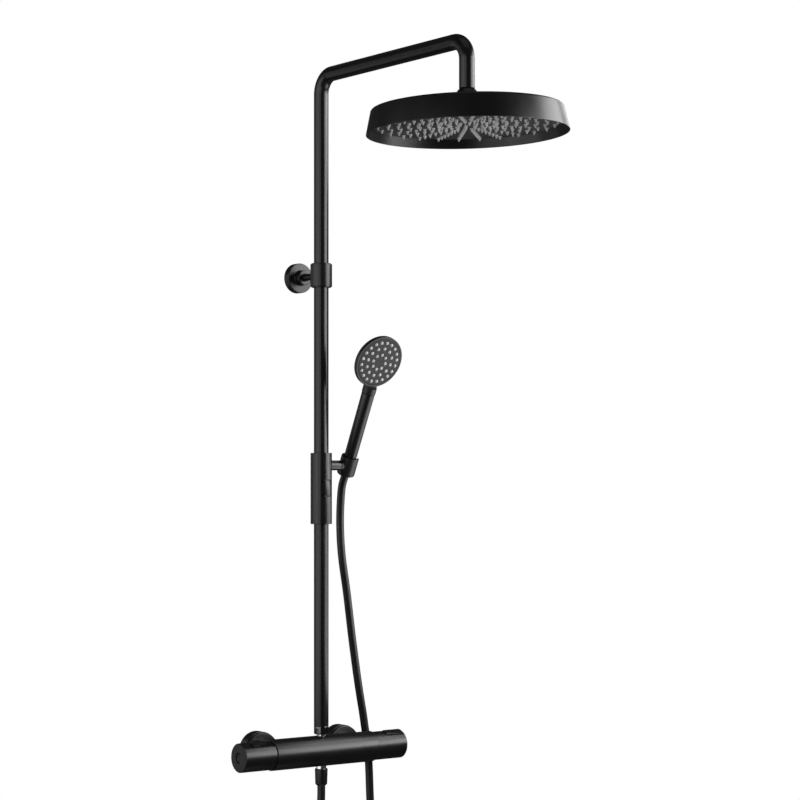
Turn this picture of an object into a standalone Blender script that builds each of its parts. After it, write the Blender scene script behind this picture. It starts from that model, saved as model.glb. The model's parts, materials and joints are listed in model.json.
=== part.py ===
"""Rainfall shower column: bar mixer, riser, wall bracket, rain head, slider and hand shower."""

import math

import bmesh
import bpy
from mathutils import Matrix, Vector

MM = 0.001

# ---------------------------------------------------------------- clearances
GAP = 0.3
SLIDE_GAP = 0.25
TURN_GAP = 0.4
BUTTON_GAP = 0.45

# ------------------------------------------------------------- driving sizes
PIPE_OD = 22.0
PIPE_WALL = 1.2
PIPE_Y = -66.0

BAR_Z = -711.0
BODY_OD = 46.0
BODY_LENGTH = 184.0
CARTRIDGE_BORE = 34.0
CARTRIDGE_DEPTH = 48.0
WATER_BORE = 14.0

HANDLE_OD = 43.0
HANDLE_LENGTH = 54.0
HANDLE_WALL = 4.6
HANDLE_FLAT_CHORD = 17.0
HANDLE_FLAT_LEAN = 22.0
HANDLE_END_THICK = 5.0
END_CAP_OD = 15.8
END_CAP_DEPTH = 1.5
STOP_SLOT_WIDTH = 8.6
STOP_SLOT_LENGTH = 34.0
STOP_SLOT_FROM_END = 14.0
STOP_BUTTON_WIDTH = 7.5
STOP_BUTTON_LENGTH = 9.7
STOP_BUTTON_FROM_END = 19.6
FLOW_TAB_LENGTH = 31.0
FLOW_TAB_RISE = 1.5

INLET_PITCH = 150.0
ROSETTE_OD = 58.0
ROSETTE_DEPTH = 21.0
UNION_OD = 20.0
UNION_BORE = 12.0
UNION_LENGTH = 30.0
SPIGOT_OD = 26.0
UNION_NUT_ACROSS = 34.0

RISER_FOOT_Z = -673.6
LOCK_RING_HEIGHT = 12.4
NECK_OD = 13.8
OUTLET_NECK_OD = 15.0
LOWER_NUT_TOP_Z = -737.7
LOWER_NUT_HEIGHT = 24.7
LOWER_NUT_OD = 19.3

COLLAR_OD = 32.5
COLLAR_HEIGHT = 36.0
FLANGE_OD = 45.0
FLANGE_DEPTH = 11.5
BASE_DEPTH = 4.6
BOSS_OD = 22.5
BOSS_LENGTH = 11.8
SPINDLE_OD = 11.0
SPINDLE_TIP_OD = 8.0
WALL_SCREW_PITCH = 24.0

ARM_Z = 298.0
ARM_REACH = 348.0
BEND_RADIUS = 28.0
BEND_STEPS = 6

BALL_OD = 22.0
BALL_SEAT_DROP = 3.2
BALL_SOCKET_GAP = 1.3
BALL_NUT_WALL = 4.2
BALL_NUT_TOP_ANGLE = 56.1
BALL_MOUTH_ANGLE = 41.6
HEAD_TOP_OD = 265.0
HEAD_RIM_OD = 280.0
HEAD_HEIGHT = 34.0
HEAD_RIM_Z = 168.8
HEAD_WALL = 1.5
HEAD_PLATE_RECESS = 12.7
HEAD_PLATE_THICK = 2.0
HEAD_TILT_X = -1.0
HEAD_TILT_Y = -1.1

SLEEVE_OD = 32.0
SLEEVE_TOP_Z = -265.5
SLEEVE_HEIGHT = 106.3
BUSH_WALL = 1.1
BUSH_HEIGHT = 34.0
SLIDER_BUTTON_WIDTH = 15.0
SLIDER_BUTTON_HEIGHT = 23.0
SLIDER_BUTTON_CORNER = 4.5
SLIDER_BUTTON_Z = -318.0

CUP_X = 49.0
CUP_Z = -284.0
CUP_OD = 27.0
CUP_HEIGHT = 30.0
CUP_LEAN = 26.0
CUP_TOP_BORE = 20.8
CUP_LOW_BORE = 17.6
CUP_SLOT = 13.0
HOLDER_PIN_OD = 15.0
PIN_SEAM_X = 32.7
PIN_BOLT_OD = 6.4

DISC_FROM_CUP = 172.0
DISC_OD = 80.5
DISC_RIM = 6.6
DISC_FRONT = 5.0
NECK_LENGTH = 11.5
HAND_NECK_OD = 21.0
GRIP_TOP_OD = 20.0
GRIP_FOOT_OD = 19.0
GRIP_FOOT_FROM_CUP = 11.0
GRIP_WALL = 2.6
HOSE_NUT_LENGTH = 26.6

HOSE_OD = 12.0
HOSE_POINTS = 62

# ------------------------------------------------------------ derived places
PIPE_R = PIPE_OD / 2
PIPE_BORE_R = PIPE_R - PIPE_WALL
BAR_TOP_Z = BAR_Z + BODY_OD / 2
BAR_FOOT_Z = BAR_Z - BODY_OD / 2
BODY_END_X = BODY_LENGTH / 2
INLET_X = INLET_PITCH / 2
SPIGOT_END_Y = -(UNION_LENGTH + 2.3)
HEAD_Y = PIPE_Y - ARM_REACH
HEAD_BALL_Z = HEAD_RIM_Z + HEAD_HEIGHT + BALL_OD / 2 + BALL_SEAT_DROP
BALL_SOCKET_R = BALL_OD / 2 + BALL_SOCKET_GAP
BALL_NUT_R = BALL_SOCKET_R + BALL_NUT_WALL
DROP_FOOT = math.sqrt(BALL_NUT_R**2 - PIPE_BORE_R**2) + SLIDE_GAP
SLEEVE_BORE = PIPE_OD + 2 * (BUSH_WALL + 2 * SLIDE_GAP)
HEAD_TOP_DROP = HEAD_RIM_Z + HEAD_HEIGHT - HEAD_BALL_Z
CUP_CENTRE = Vector((CUP_X, PIPE_Y, CUP_Z))
HAND_AXIS = Vector((0, -math.sin(math.radians(CUP_LEAN)), math.cos(math.radians(CUP_LEAN))))
HAND_FACE = Vector((0, -HAND_AXIS.z, HAND_AXIS.y))
LOWER_NUT_FOOT_Z = LOWER_NUT_TOP_Z - LOWER_NUT_HEIGHT

X_AXIS = Vector((1, 0, 0))
Y_AXIS = Vector((0, 1, 0))
Z_AXIS = Vector((0, 0, 1))


# -------------------------------------------------------------------- set-up
def clear_scene():
    for item in list(bpy.data.objects):
        bpy.data.objects.remove(item)


def finish(name, colour, roughness, metallic=0.0):
    made = bpy.data.materials.new(name)
    made.use_nodes = True
    shader = made.node_tree.nodes["Principled BSDF"]
    shader.inputs["Base Color"].default_value = (*colour, 1)
    shader.inputs["Roughness"].default_value = roughness
    shader.inputs["Metallic"].default_value = metallic
    made.diffuse_color = (*colour, 1)
    return made


BLACK = (0.018, 0.018, 0.019)
LOOKS = {
    "black": (BLACK, 0.38, 0.0),
    "chrome": ((0.75, 0.75, 0.76), 0.12, 1.0),
    "brass": ((0.62, 0.47, 0.22), 0.35, 1.0),
    "steel": ((0.56, 0.56, 0.57), 0.3, 1.0),
    "white_plastic": ((0.75, 0.75, 0.73), 0.5, 0.0),
    "dark_plastic": ((0.03, 0.03, 0.032), 0.5, 0.0),
    "face": ((0.06, 0.06, 0.062), 0.45, 0.0),
    "silicone": ((0.42, 0.42, 0.43), 0.55, 0.0),
    "rubber": ((0.02, 0.02, 0.02), 0.75, 0.0),
    "hose": ((0.02, 0.02, 0.021), 0.35, 0.0),
}


def dress(item, look):
    colour, roughness, metallic = LOOKS[look]
    item.data.materials.append(finish(item.name, colour, roughness, metallic))
    return item


def placed(item, at, along=Z_AXIS):
    turn = along.to_track_quat("Z", "Y") if along != Z_AXIS else Matrix.Identity(3).to_quaternion()
    item.rotation_mode = "QUATERNION"
    item.rotation_quaternion = turn
    item.location = Vector(at) * MM
    return item


def new_object(name, mesh):
    item = bpy.data.objects.new(name, mesh)
    bpy.context.scene.collection.objects.link(item)
    return item


# ------------------------------------------------------------- shape helpers
def lathe(name, profile, at, along=Z_AXIS, steps=32, closed=False):
    """A turned piece. The profile is (radius, height) from top to bottom, and back up the bore if closed."""
    points = [(radius * MM, 0, height * MM) for radius, height in profile]
    edges = [(i, i + 1) for i in range(len(points) - 1)]
    if closed:
        edges.append((len(points) - 1, 0))
    mesh = bpy.data.meshes.new(name)
    mesh.from_pydata(points, edges, [])
    item = placed(new_object(name, mesh), at, along)
    screw = item.modifiers.new("turn", "SCREW")
    screw.axis = "Z"
    screw.angle = math.tau
    screw.steps = steps
    screw.render_steps = steps
    screw.use_merge_vertices = True
    screw.merge_threshold = 0.00001
    screw.use_smooth_shade = True
    return item


def ring(name, outer, inner, top, foot, at, along=Z_AXIS, steps=16):
    """A plain square-ended sleeve."""
    profile = [(outer, top), (outer, foot), (inner, foot), (inner, top)]
    return lathe(name, profile, at, along, steps, closed=True)


def rod(name, radius, top, foot, at, along=Z_AXIS, steps=16, edge=0.0):
    """A plain round bar, with its edges eased if an edge is given."""
    profile = [(0, top), (radius - edge, top), (radius, top - edge)]
    profile += [(radius, foot + edge), (radius - edge, foot), (0, foot)]
    if not edge:
        profile = [(0, top), (radius, top), (radius, foot), (0, foot)]
    return lathe(name, profile, at, along, steps)


def prism(name, outline, low, high, at, along=Z_AXIS):
    """An outline of (x, y) pushed from low to high along local Z."""
    count = len(outline)
    points = [(x * MM, y * MM, low * MM) for x, y in outline]
    points += [(x * MM, y * MM, high * MM) for x, y in outline]
    faces = [tuple(reversed(range(count))), tuple(range(count, 2 * count))]
    for i in range(count):
        after = (i + 1) % count
        faces.append((i, after, count + after, count + i))
    mesh = bpy.data.meshes.new(name)
    mesh.from_pydata(points, [], faces)
    return placed(new_object(name, mesh), at, along)


def rounded_outline(width, height, corner, arc=4):
    """A rectangle with round corners, anticlockwise."""
    outline = []
    for sx, sy, start in ((1, 1, 0), (-1, 1, 90), (-1, -1, 180), (1, -1, 270)):
        for step in range(arc + 1):
            angle = math.radians(start + 90 * step / arc)
            x = sx * (width / 2 - corner) + corner * math.cos(angle)
            y = sy * (height / 2 - corner) + corner * math.sin(angle)
            outline.append((x, y))
    return outline


def polygon_outline(sides, across):
    """A regular polygon of this size across its flats."""
    radius = across / 2 / math.cos(math.pi / sides)
    angles = [math.tau * side / sides for side in range(sides)]
    return [(radius * math.cos(angle), radius * math.sin(angle)) for angle in angles]


def combine(item, other, operation):
    """A live Boolean with a helper that isn't drawn."""
    other.hide_render = True
    other.display_type = "WIRE"
    other.name = f"{item.name}.{operation.lower()}.{len(item.modifiers)}"
    change = item.modifiers.new(other.name, "BOOLEAN")
    change.operation = operation
    change.solver = "EXACT"
    change.object = other
    if other.parent is None and item.parent is not None:
        other.parent = item.parent
    return item


def sweep_tube(name, path, outer, inner, at, sides=24):
    """A hollow tube along a planar path of points in the YZ plane, square at both ends."""
    made = bmesh.new()
    loops = {outer: [], inner: []}
    for index, point in enumerate(path):
        before = path[max(index - 1, 0)]
        after = path[min(index + 1, len(path) - 1)]
        ahead = (point - before).normalized() + (after - point).normalized()
        if index in (0, len(path) - 1):
            ahead = after - before
        ahead.normalize()
        side = X_AXIS
        up = ahead.cross(side).normalized()
        for radius, kept in loops.items():
            row = []
            for step in range(sides):
                angle = math.tau * step / sides
                offset = side * math.cos(angle) - up * math.sin(angle)
                row.append(made.verts.new((point + offset * radius) * MM))
            kept.append(row)
    for radius, kept in loops.items():
        for low, high in zip(kept, kept[1:]):
            for step in range(sides):
                after = (step + 1) % sides
                face = [low[step], low[after], high[after], high[step]]
                made.faces.new(face if radius == outer else face[::-1])
    for end in (0, -1):
        for step in range(sides):
            after = (step + 1) % sides
            face = [
                loops[outer][end][step],
                loops[outer][end][after],
                loops[inner][end][after],
                loops[inner][end][step],
            ]
            made.faces.new(face[::-1] if end == 0 else face)
    bmesh.ops.recalc_face_normals(made, faces=made.faces)
    mesh = bpy.data.meshes.new(name)
    made.to_mesh(mesh)
    made.free()
    for face in mesh.polygons:
        face.use_smooth = True
    return placed(new_object(name, mesh), at)


# --------------------------------------------------------------- bar mixer
def bar_lathe(name, profile, steps=32, closed=False, side=1):
    """A piece turned about the bar's axis; heights run outward from the middle, to the side given."""
    return lathe(name, profile, (0, PIPE_Y, BAR_Z), X_AXIS * side, steps, closed)


def build_mixer_body():
    outer = BODY_OD / 2
    bore = CARTRIDGE_BORE / 2
    inner_x = BODY_END_X - CARTRIDGE_DEPTH
    profile = [
        (bore, BODY_END_X),
        (outer - 0.6, BODY_END_X),
        (outer, BODY_END_X - 0.6),
        (outer, 0.6 - BODY_END_X),
        (outer - 0.6, -BODY_END_X),
        (bore, -BODY_END_X),
        (bore, -inner_x),
        (WATER_BORE / 2, -inner_x),
        (WATER_BORE / 2, inner_x),
        (bore, inner_x),
    ]
    body = bar_lathe("mixer_body", profile, 32, closed=True)
    for sign in (-1, 1):
        at = (sign * INLET_X, 0, BAR_Z)
        spigot = rod("spigot", SPIGOT_OD / 2, -PIPE_Y - 17.6, -SPIGOT_END_Y, at, -Y_AXIS, 20)
        combine(body, spigot, "UNION")
    for sign in (-1, 1):
        at = (sign * INLET_X, 0, BAR_Z)
        combine(body, rod("inlet", 8, -PIPE_Y - 10, -SPIGOT_END_Y - 2, at, -Y_AXIS, 16), "DIFFERENCE")
    reach = outer + 4
    centre = (0, PIPE_Y, BAR_Z)
    combine(body, rod("outlet", NECK_OD / 2 + GAP, reach, -2.2, centre, steps=20), "DIFFERENCE")
    combine(body, rod("outlet", OUTLET_NECK_OD / 2 + GAP, -1.1, -reach, centre, steps=20), "DIFFERENCE")
    return dress(body, "black")


def build_cartridge(name, side):
    """A cartridge with a waist where the inlet water enters, and a spindle out to the handle."""
    fit = CARTRIDGE_BORE / 2 - SLIDE_GAP
    inner_x = BODY_END_X - CARTRIDGE_DEPTH + 0.6
    profile = [
        (0, BODY_END_X + 36),
        (4.6, BODY_END_X + 36),
        (5, BODY_END_X + 35),
        (5, BODY_END_X + 6),
        (9, BODY_END_X + 6),
        (9, BODY_END_X - 6),
        (fit, BODY_END_X - 6),
        (fit, INLET_X + 9),
        (11, INLET_X + 8),
        (11, INLET_X - 9),
        (fit, INLET_X - 10),
        (fit, inner_x + 6),
        (9, inner_x),
        (0, inner_x),
    ]
    return dress(bar_lathe(name, profile, 16, side=side), "white_plastic")


def build_cartridge_nut(name, side):
    """The brass nut that holds a cartridge in its bore."""
    made = ring(
        name,
        CARTRIDGE_BORE / 2 - SLIDE_GAP,
        9.3,
        BODY_END_X - 0.2,
        BODY_END_X - 5.7,
        (0, PIPE_Y, BAR_Z),
        X_AXIS * side,
    )
    return dress(made, "brass")


def flat_direction():
    lean = math.radians(HANDLE_FLAT_LEAN)
    return Vector((0, -math.sin(lean), math.cos(lean)))


def flat_height():
    """How far the handle's flat lies from the bar's axis."""
    return math.sqrt((HANDLE_OD / 2) ** 2 - (HANDLE_FLAT_CHORD / 2) ** 2)


def bar_block(name, width, length, low, high, from_x, side, corner=0.0):
    """A block square to the handle's flat; it runs outward from from_x, and low to high from the axis."""
    middle = side * (from_x + length / 2)
    outline = rounded_outline(length, width, corner) if corner else [
        (length / 2, width / 2),
        (-length / 2, width / 2),
        (-length / 2, -width / 2),
        (length / 2, -width / 2),
    ]
    made = prism(name, outline, low, high, (middle, PIPE_Y, BAR_Z))
    up = flat_direction()
    turn = Matrix((X_AXIS, up.cross(X_AXIS), up)).transposed()
    made.rotation_quaternion = turn.to_quaternion()
    return made


def build_handle(name, side):
    """A hollow knob with a splined hub for the spindle and a recess for its end cap."""
    outer = HANDLE_OD / 2
    bore = outer - HANDLE_WALL
    start = BODY_END_X + TURN_GAP
    end = start + HANDLE_LENGTH
    floor = end - END_CAP_DEPTH - 1.4
    profile = [
        (END_CAP_OD / 2 + 0.1, end),
        (outer - 3, end),
        (outer - 0.9, end - 0.9),
        (outer, end - 3),
        (outer, start + 0.5),
        (outer - 0.5, start),
        (bore, start),
        (bore, end - HANDLE_END_THICK),
        (8.2, end - HANDLE_END_THICK),
        (8.2, BODY_END_X + 21),
        (5 + GAP, BODY_END_X + 21),
        (5 + GAP, floor - 3),
        (2.4, floor - 3),
        (2.4, floor),
        (END_CAP_OD / 2 + 0.1, floor),
    ]
    return bar_lathe(name, profile, 32, closed=True, side=side)


def build_temperature_handle():
    handle = build_handle("temperature_handle", -1)
    start = BODY_END_X + TURN_GAP
    end = start + HANDLE_LENGTH
    height = flat_height()
    combine(handle, bar_block("flat", 40, HANDLE_LENGTH + 8, height, height + 9, start - 4, -1), "DIFFERENCE")
    slot_from = end - STOP_SLOT_FROM_END - STOP_SLOT_LENGTH
    slot = bar_block("slot", STOP_SLOT_WIDTH, STOP_SLOT_LENGTH, height - 1.2, height + 4, slot_from, -1, 1.2)
    combine(handle, slot, "DIFFERENCE")
    hole_from = end - STOP_BUTTON_FROM_END - STOP_BUTTON_LENGTH - BUTTON_GAP
    hole = bar_block(
        "button hole",
        STOP_BUTTON_WIDTH + 2 * BUTTON_GAP,
        STOP_BUTTON_LENGTH + 2 * BUTTON_GAP,
        10,
        height + 5,
        hole_from,
        -1,
    )
    combine(handle, hole, "DIFFERENCE")
    return dress(handle, "black")


def build_temperature_button():
    height = flat_height()
    end = BODY_END_X + TURN_GAP + HANDLE_LENGTH
    start = end - STOP_BUTTON_FROM_END - STOP_BUTTON_LENGTH
    low = height - 2.6
    crown = height + 1.1
    button = bar_block(
        "temperature_stop_button",
        STOP_BUTTON_WIDTH,
        STOP_BUTTON_LENGTH,
        low,
        crown,
        start,
        -1,
        0.8,
    )
    return dress(button, "dark_plastic")


def build_flow_handle():
    handle = build_handle("flow_handle", 1)
    end = BODY_END_X + TURN_GAP + HANDLE_LENGTH
    height = flat_height()
    hole = bar_block(
        "tab hole",
        HANDLE_FLAT_CHORD - 3 + 2 * BUTTON_GAP,
        FLOW_TAB_LENGTH + 2 * BUTTON_GAP,
        height - 1.6,
        height + 9,
        end - 3 - FLOW_TAB_LENGTH - BUTTON_GAP,
        1,
        2.0,
    )
    combine(handle, hole, "DIFFERENCE")
    return dress(handle, "black")


def build_flow_tab():
    height = flat_height()
    end = BODY_END_X + TURN_GAP + HANDLE_LENGTH
    width = HANDLE_FLAT_CHORD - 3
    low = height - 1.6 + GAP
    tab = bar_block("flow_tab", width, FLOW_TAB_LENGTH, low, height + 4.2, end - 3 - FLOW_TAB_LENGTH, 1, 1.6)
    cap = rod("cap", HANDLE_OD / 2 + FLOW_TAB_RISE, end + 5, 80, (0, PIPE_Y, BAR_Z), X_AXIS, 64)
    combine(tab, cap, "INTERSECT")
    return dress(tab, "black")


def build_end_cap(name, side):
    end = BODY_END_X + TURN_GAP + HANDLE_LENGTH
    top = end - END_CAP_DEPTH
    radius = END_CAP_OD / 2 - GAP
    made = bar_lathe(
        name,
        [
            (0, top - 0.5),
            (radius - 2, top),
            (radius, top),
            (radius, top - 1.1),
            (0, top - 1.1),
        ],
        24,
        side=side,
    )
    return dress(made, "black")


def build_inlet(word, sign):
    """Everything between the wall and one end of the mixer's back."""
    at = (sign * INLET_X, 0, BAR_Z)
    out = -Y_AXIS
    tube = UNION_OD / 2
    bore = UNION_BORE / 2
    union = lathe(
        f"wall_union_{word}",
        [
            (bore, UNION_LENGTH),
            (SPIGOT_OD / 2 - 0.4, UNION_LENGTH),
            (SPIGOT_OD / 2 - 0.4, UNION_LENGTH - 2.5),
            (tube, UNION_LENGTH - 2.5),
            (tube, 0),
            (bore, 0),
        ],
        at,
        out,
        16,
        closed=True,
    )
    dress(union, "brass")
    gasket = ring(
        f"union_gasket_{word}",
        SPIGOT_OD / 2 - 0.6,
        8.2,
        -SPIGOT_END_Y - GAP,
        UNION_LENGTH + GAP,
        at,
        out,
    )
    dress(gasket, "rubber")
    low = UNION_LENGTH - 5.8
    nut = prism(f"union_nut_{word}", polygon_outline(6, UNION_NUT_ACROSS), low, low + 17.5, at, out)
    nut_bore = lathe(
        "bore",
        [
            (0, low + 20),
            (SPIGOT_OD / 2 + GAP, low + 20),
            (SPIGOT_OD / 2 + GAP, UNION_LENGTH - 2.9),
            (tube + GAP, UNION_LENGTH - 2.9),
            (tube + GAP, low - 2),
            (0, low - 2),
        ],
        at,
        out,
        16,
    )
    combine(nut, nut_bore, "DIFFERENCE")
    dress(nut, "black")
    valve = lathe(
        f"check_valve_{word}",
        [
            (3.4, -SPIGOT_END_Y + 13),
            (7.2, -SPIGOT_END_Y + 13),
            (7.6, -SPIGOT_END_Y + 12),
            (7.6, -SPIGOT_END_Y + 1),
            (4.5, -SPIGOT_END_Y + 1),
        ],
        at,
        out,
        12,
        closed=True,
    )
    dress(valve, "white_plastic")
    rosette = ROSETTE_OD / 2
    depth = ROSETTE_DEPTH
    cover = lathe(
        f"rosette_{word}",
        [
            (tube + GAP, depth),
            (rosette - 2.4, depth),
            (rosette - 1.1, depth - 0.8),
            (rosette - 0.5, depth - 3.4),
            (rosette - 1.3, depth - 3.6),
            (rosette - 1.3, depth - 4.3),
            (rosette, depth - 4.6),
            (rosette, 0),
            (rosette - 1.6, 0),
            (rosette - 2.8, depth - 1.8),
            (tube + GAP, depth - 1.8),
        ],
        at,
        out,
        28,
        closed=True,
    )
    dress(cover, "black")


def build_riser_foot():
    """The nipple out of the bar and the slotted ring that locks the riser on it."""
    at = (0, PIPE_Y, 0)
    neck = NECK_OD / 2
    foot = BAR_TOP_Z - 13
    nipple = lathe(
        "riser_nipple",
        [
            (4.8, RISER_FOOT_Z + 12),
            (PIPE_BORE_R - GAP, RISER_FOOT_Z + 12),
            (PIPE_BORE_R - GAP, RISER_FOOT_Z + 0.4),
            (neck, RISER_FOOT_Z + 0.4),
            (neck, foot),
            (4.8, foot),
        ],
        at,
        steps=20,
        closed=True,
    )
    dress(nipple, "chrome")
    top = RISER_FOOT_Z - GAP
    low = RISER_FOOT_Z - LOCK_RING_HEIGHT
    lock = lathe(
        "riser_lock_ring",
        [
            (neck + GAP, top),
            (PIPE_R - 0.8, top),
            (PIPE_R, top - 0.8),
            (PIPE_R, low + 1.6),
            (PIPE_R - 1.4, low),
            (neck + GAP, low),
        ],
        at,
        steps=24,
        closed=True,
    )
    for turn in (20, 110, 200, 290):
        angle = math.radians(turn)
        place = (math.cos(angle) * (PIPE_R + 1.0), PIPE_Y + math.sin(angle) * (PIPE_R + 1.0), 0)
        combine(lock, rod("slot", 2.6, top - 3.2, low - 2, place, steps=12), "DIFFERENCE")
    dress(lock, "chrome")


def build_outlet():
    """The chrome nipple and the hose nut under the bar."""
    at = (0, PIPE_Y, 0)
    neck = OUTLET_NECK_OD / 2
    foot = LOWER_NUT_TOP_Z - 7
    nipple = ring("outlet_nipple", neck, 4.4, BAR_FOOT_Z + 12, foot, at, steps=20)
    dress(nipple, "chrome")
    outer = LOWER_NUT_OD / 2
    nut = lathe(
        "hose_nut_lower",
        [
            (neck + GAP, LOWER_NUT_TOP_Z),
            (outer - 0.5, LOWER_NUT_TOP_Z),
            (outer, LOWER_NUT_TOP_Z - 0.5),
            (outer - 0.75, LOWER_NUT_FOOT_Z + 2),
            (outer - 2.4, LOWER_NUT_FOOT_Z),
            (4.2, LOWER_NUT_FOOT_Z),
            (4.2, foot - 2.2),
            (neck + GAP, foot - 2.2),
        ],
        at,
        steps=24,
        closed=True,
    )
    dress(nut, "black")
    washer = ring("hose_washer", neck, 4.4, foot - GAP, foot - 1.9, at)
    dress(washer, "rubber")


# ----------------------------------------------------- riser, arm and bracket
def build_pipes():
    at = (0, PIPE_Y, 0)
    riser = ring("lower_riser", PIPE_R, PIPE_BORE_R, -GAP, RISER_FOOT_Z, at, steps=32)
    dress(riser, "black")
    coupling = ring("riser_coupling", PIPE_BORE_R - GAP, 7.2, 19, -19, at, steps=20)
    dress(coupling, "brass")
    path = [Vector((0, 0, GAP))]
    bend = BEND_RADIUS
    for step in range(BEND_STEPS + 1):
        angle = math.radians(90 * step / BEND_STEPS)
        path.append(Vector((0, -bend * (1 - math.cos(angle)), ARM_Z - bend + bend * math.sin(angle))))
    for step in range(BEND_STEPS + 1):
        angle = math.radians(90 * step / BEND_STEPS)
        out = ARM_REACH - bend + bend * math.sin(angle)
        path.append(Vector((0, -out, ARM_Z - bend + bend * math.cos(angle))))
    path.append(Vector((0, -ARM_REACH, HEAD_BALL_Z + DROP_FOOT)))
    arm = sweep_tube("gooseneck", path, PIPE_R, PIPE_BORE_R, at, 20)
    dress(arm, "black")


def build_bracket():
    at = (0, PIPE_Y, 0)
    half = COLLAR_HEIGHT / 2
    outer = COLLAR_OD / 2
    bore = PIPE_R + SLIDE_GAP
    collar = lathe(
        "bracket_collar",
        [
            (bore, half),
            (outer - 0.8, half),
            (outer, half - 0.8),
            (outer, 0.8 - half),
            (outer - 0.8, -half),
            (bore, -half),
        ],
        at,
        steps=32,
        closed=True,
    )
    combine(collar, rod("spindle hole", 3.3, outer + 5, bore - 2, (0, PIPE_Y, 0), Y_AXIS, 12), "DIFFERENCE")
    combine(collar, rod("grub hole", 2.0, 30, 6, (0, PIPE_Y, 10.5), Y_AXIS, 12), "DIFFERENCE")
    dress(collar, "black")
    grub = rod("collar_grub_screw", 1.7, outer - 0.6, bore + 0.3, (0, PIPE_Y, 10.5), Y_AXIS, 12, 0.3)
    dress(grub, "steel")
    collar_back = PIPE_Y + outer
    face = -FLANGE_DEPTH - BOSS_LENGTH
    spindle = lathe(
        "bracket_spindle",
        [
            (0, -(PIPE_Y + bore) - 0.4),
            (3, -(PIPE_Y + bore) - 0.4),
            (3, -collar_back - 0.35),
            (SPINDLE_TIP_OD / 2, -collar_back - 0.35),
            (SPINDLE_OD / 2, -face + 4),
            (SPINDLE_OD / 2, BASE_DEPTH + 1.0),
            (0, BASE_DEPTH + 1.0),
        ],
        (0, 0, 0),
        -Y_AXIS,
        20,
    )
    dress(spindle, "black")
    rim = FLANGE_OD / 2
    boss = BOSS_OD / 2
    cover = lathe(
        "bracket_cover",
        [
            (SPINDLE_OD / 2 + GAP, -face),
            (boss - 1, -face),
            (boss, -face - 1),
            (boss, FLANGE_DEPTH),
            (rim - 1, FLANGE_DEPTH),
            (rim, FLANGE_DEPTH - 1),
            (rim, BASE_DEPTH + GAP),
            (SPINDLE_OD / 2 + GAP, BASE_DEPTH + GAP),
        ],
        (0, 0, 0),
        -Y_AXIS,
        28,
        closed=True,
    )
    dress(cover, "black")
    base = rod("bracket_base", rim, BASE_DEPTH, 0, (0, 0, 0), -Y_AXIS, 28)
    dress(base, "black")
    for word, sign in (("left", -1), ("right", 1)):
        place = (sign * WALL_SCREW_PITCH / 2, 0, 0)
        hole = lathe(
            "hole",
            [(0, 7), (4.3, 7), (4.3, BASE_DEPTH - 1.4), (2.3, 1.0), (2.3, -2), (0, -2)],
            place,
            -Y_AXIS,
            12,
        )
        combine(base, hole, "DIFFERENCE")
        screw = lathe(
            f"wall_screw_{word}",
            [
                (0, BASE_DEPTH - 0.5),
                (4.0, BASE_DEPTH - 0.5),
                (3.95, BASE_DEPTH - 1.2),
                (2.0, 0.95),
                (2.0, 0.1),
                (0, 0.1),
            ],
            place,
            -Y_AXIS,
            12,
        )
        dress(screw, "steel")


# -------------------------------------------------------------------- slider
def build_slider():
    at = (0, PIPE_Y, 0)
    outer = SLEEVE_OD / 2
    bore = SLEEVE_BORE / 2
    foot = SLEEVE_TOP_Z - SLEEVE_HEIGHT
    centre = (0, PIPE_Y, (SLEEVE_TOP_Z + foot) / 2)
    half = SLEEVE_HEIGHT / 2
    lip = PIPE_R + TURN_GAP
    sleeve = lathe(
        "slider_sleeve",
        [
            (lip, half),
            (outer - 0.5, half),
            (outer, half - 0.5),
            (outer, 0.5 - half),
            (outer - 0.5, -half),
            (bore, -half),
            (bore, half - 2),
            (lip, half - 2),
        ],
        centre,
        steps=32,
        closed=True,
    )
    pivot = (0, PIPE_Y, CUP_Z)
    pin = rod("pin", HOLDER_PIN_OD / 2, PIN_SEAM_X, bore + 0.9, pivot, X_AXIS, 20)
    combine(sleeve, pin, "UNION")
    hole_r = PIN_BOLT_OD / 2 + GAP
    hole = rod("bolt hole", hole_r, PIN_SEAM_X + 5, PIN_SEAM_X - 12, pivot, X_AXIS, 12)
    combine(sleeve, hole, "DIFFERENCE")
    outline = rounded_outline(
        SLIDER_BUTTON_WIDTH + 2 * BUTTON_GAP,
        SLIDER_BUTTON_HEIGHT + 2 * BUTTON_GAP,
        SLIDER_BUTTON_CORNER + BUTTON_GAP,
    )
    place = (0, PIPE_Y, SLIDER_BUTTON_Z)
    combine(sleeve, prism("button hole", outline, 9, 24, place, -Y_AXIS), "DIFFERENCE")
    dress(sleeve, "black")
    outline = rounded_outline(SLIDER_BUTTON_WIDTH, SLIDER_BUTTON_HEIGHT, SLIDER_BUTTON_CORNER)
    button = prism("slider_button", outline, bore + 0.3, 20, place, -Y_AXIS)
    combine(button, rod("sleeve face", outer - 0.05, 30, -30, (0, 0, 0), steps=72), "INTERSECT")
    button.modifiers[0].object.location = Vector(place) * MM
    dress(button, "black")
    for word, top in (("upper", SLEEVE_TOP_Z - 2.5), ("lower", foot + 0.6 + BUSH_HEIGHT)):
        name = f"slider_bush_{word}"
        low = top - BUSH_HEIGHT
        bush = ring(name, bore - SLIDE_GAP, PIPE_R + SLIDE_GAP, top, low, at, steps=24)
        dress(bush, "white_plastic")
    bolt_head = CUP_X - CUP_TOP_BORE / 2 - 0.9
    bolt = rod("holder_bolt", PIN_BOLT_OD / 2, bolt_head, PIN_SEAM_X - 11, pivot, X_AXIS, 12)
    dress(bolt, "steel")


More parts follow.
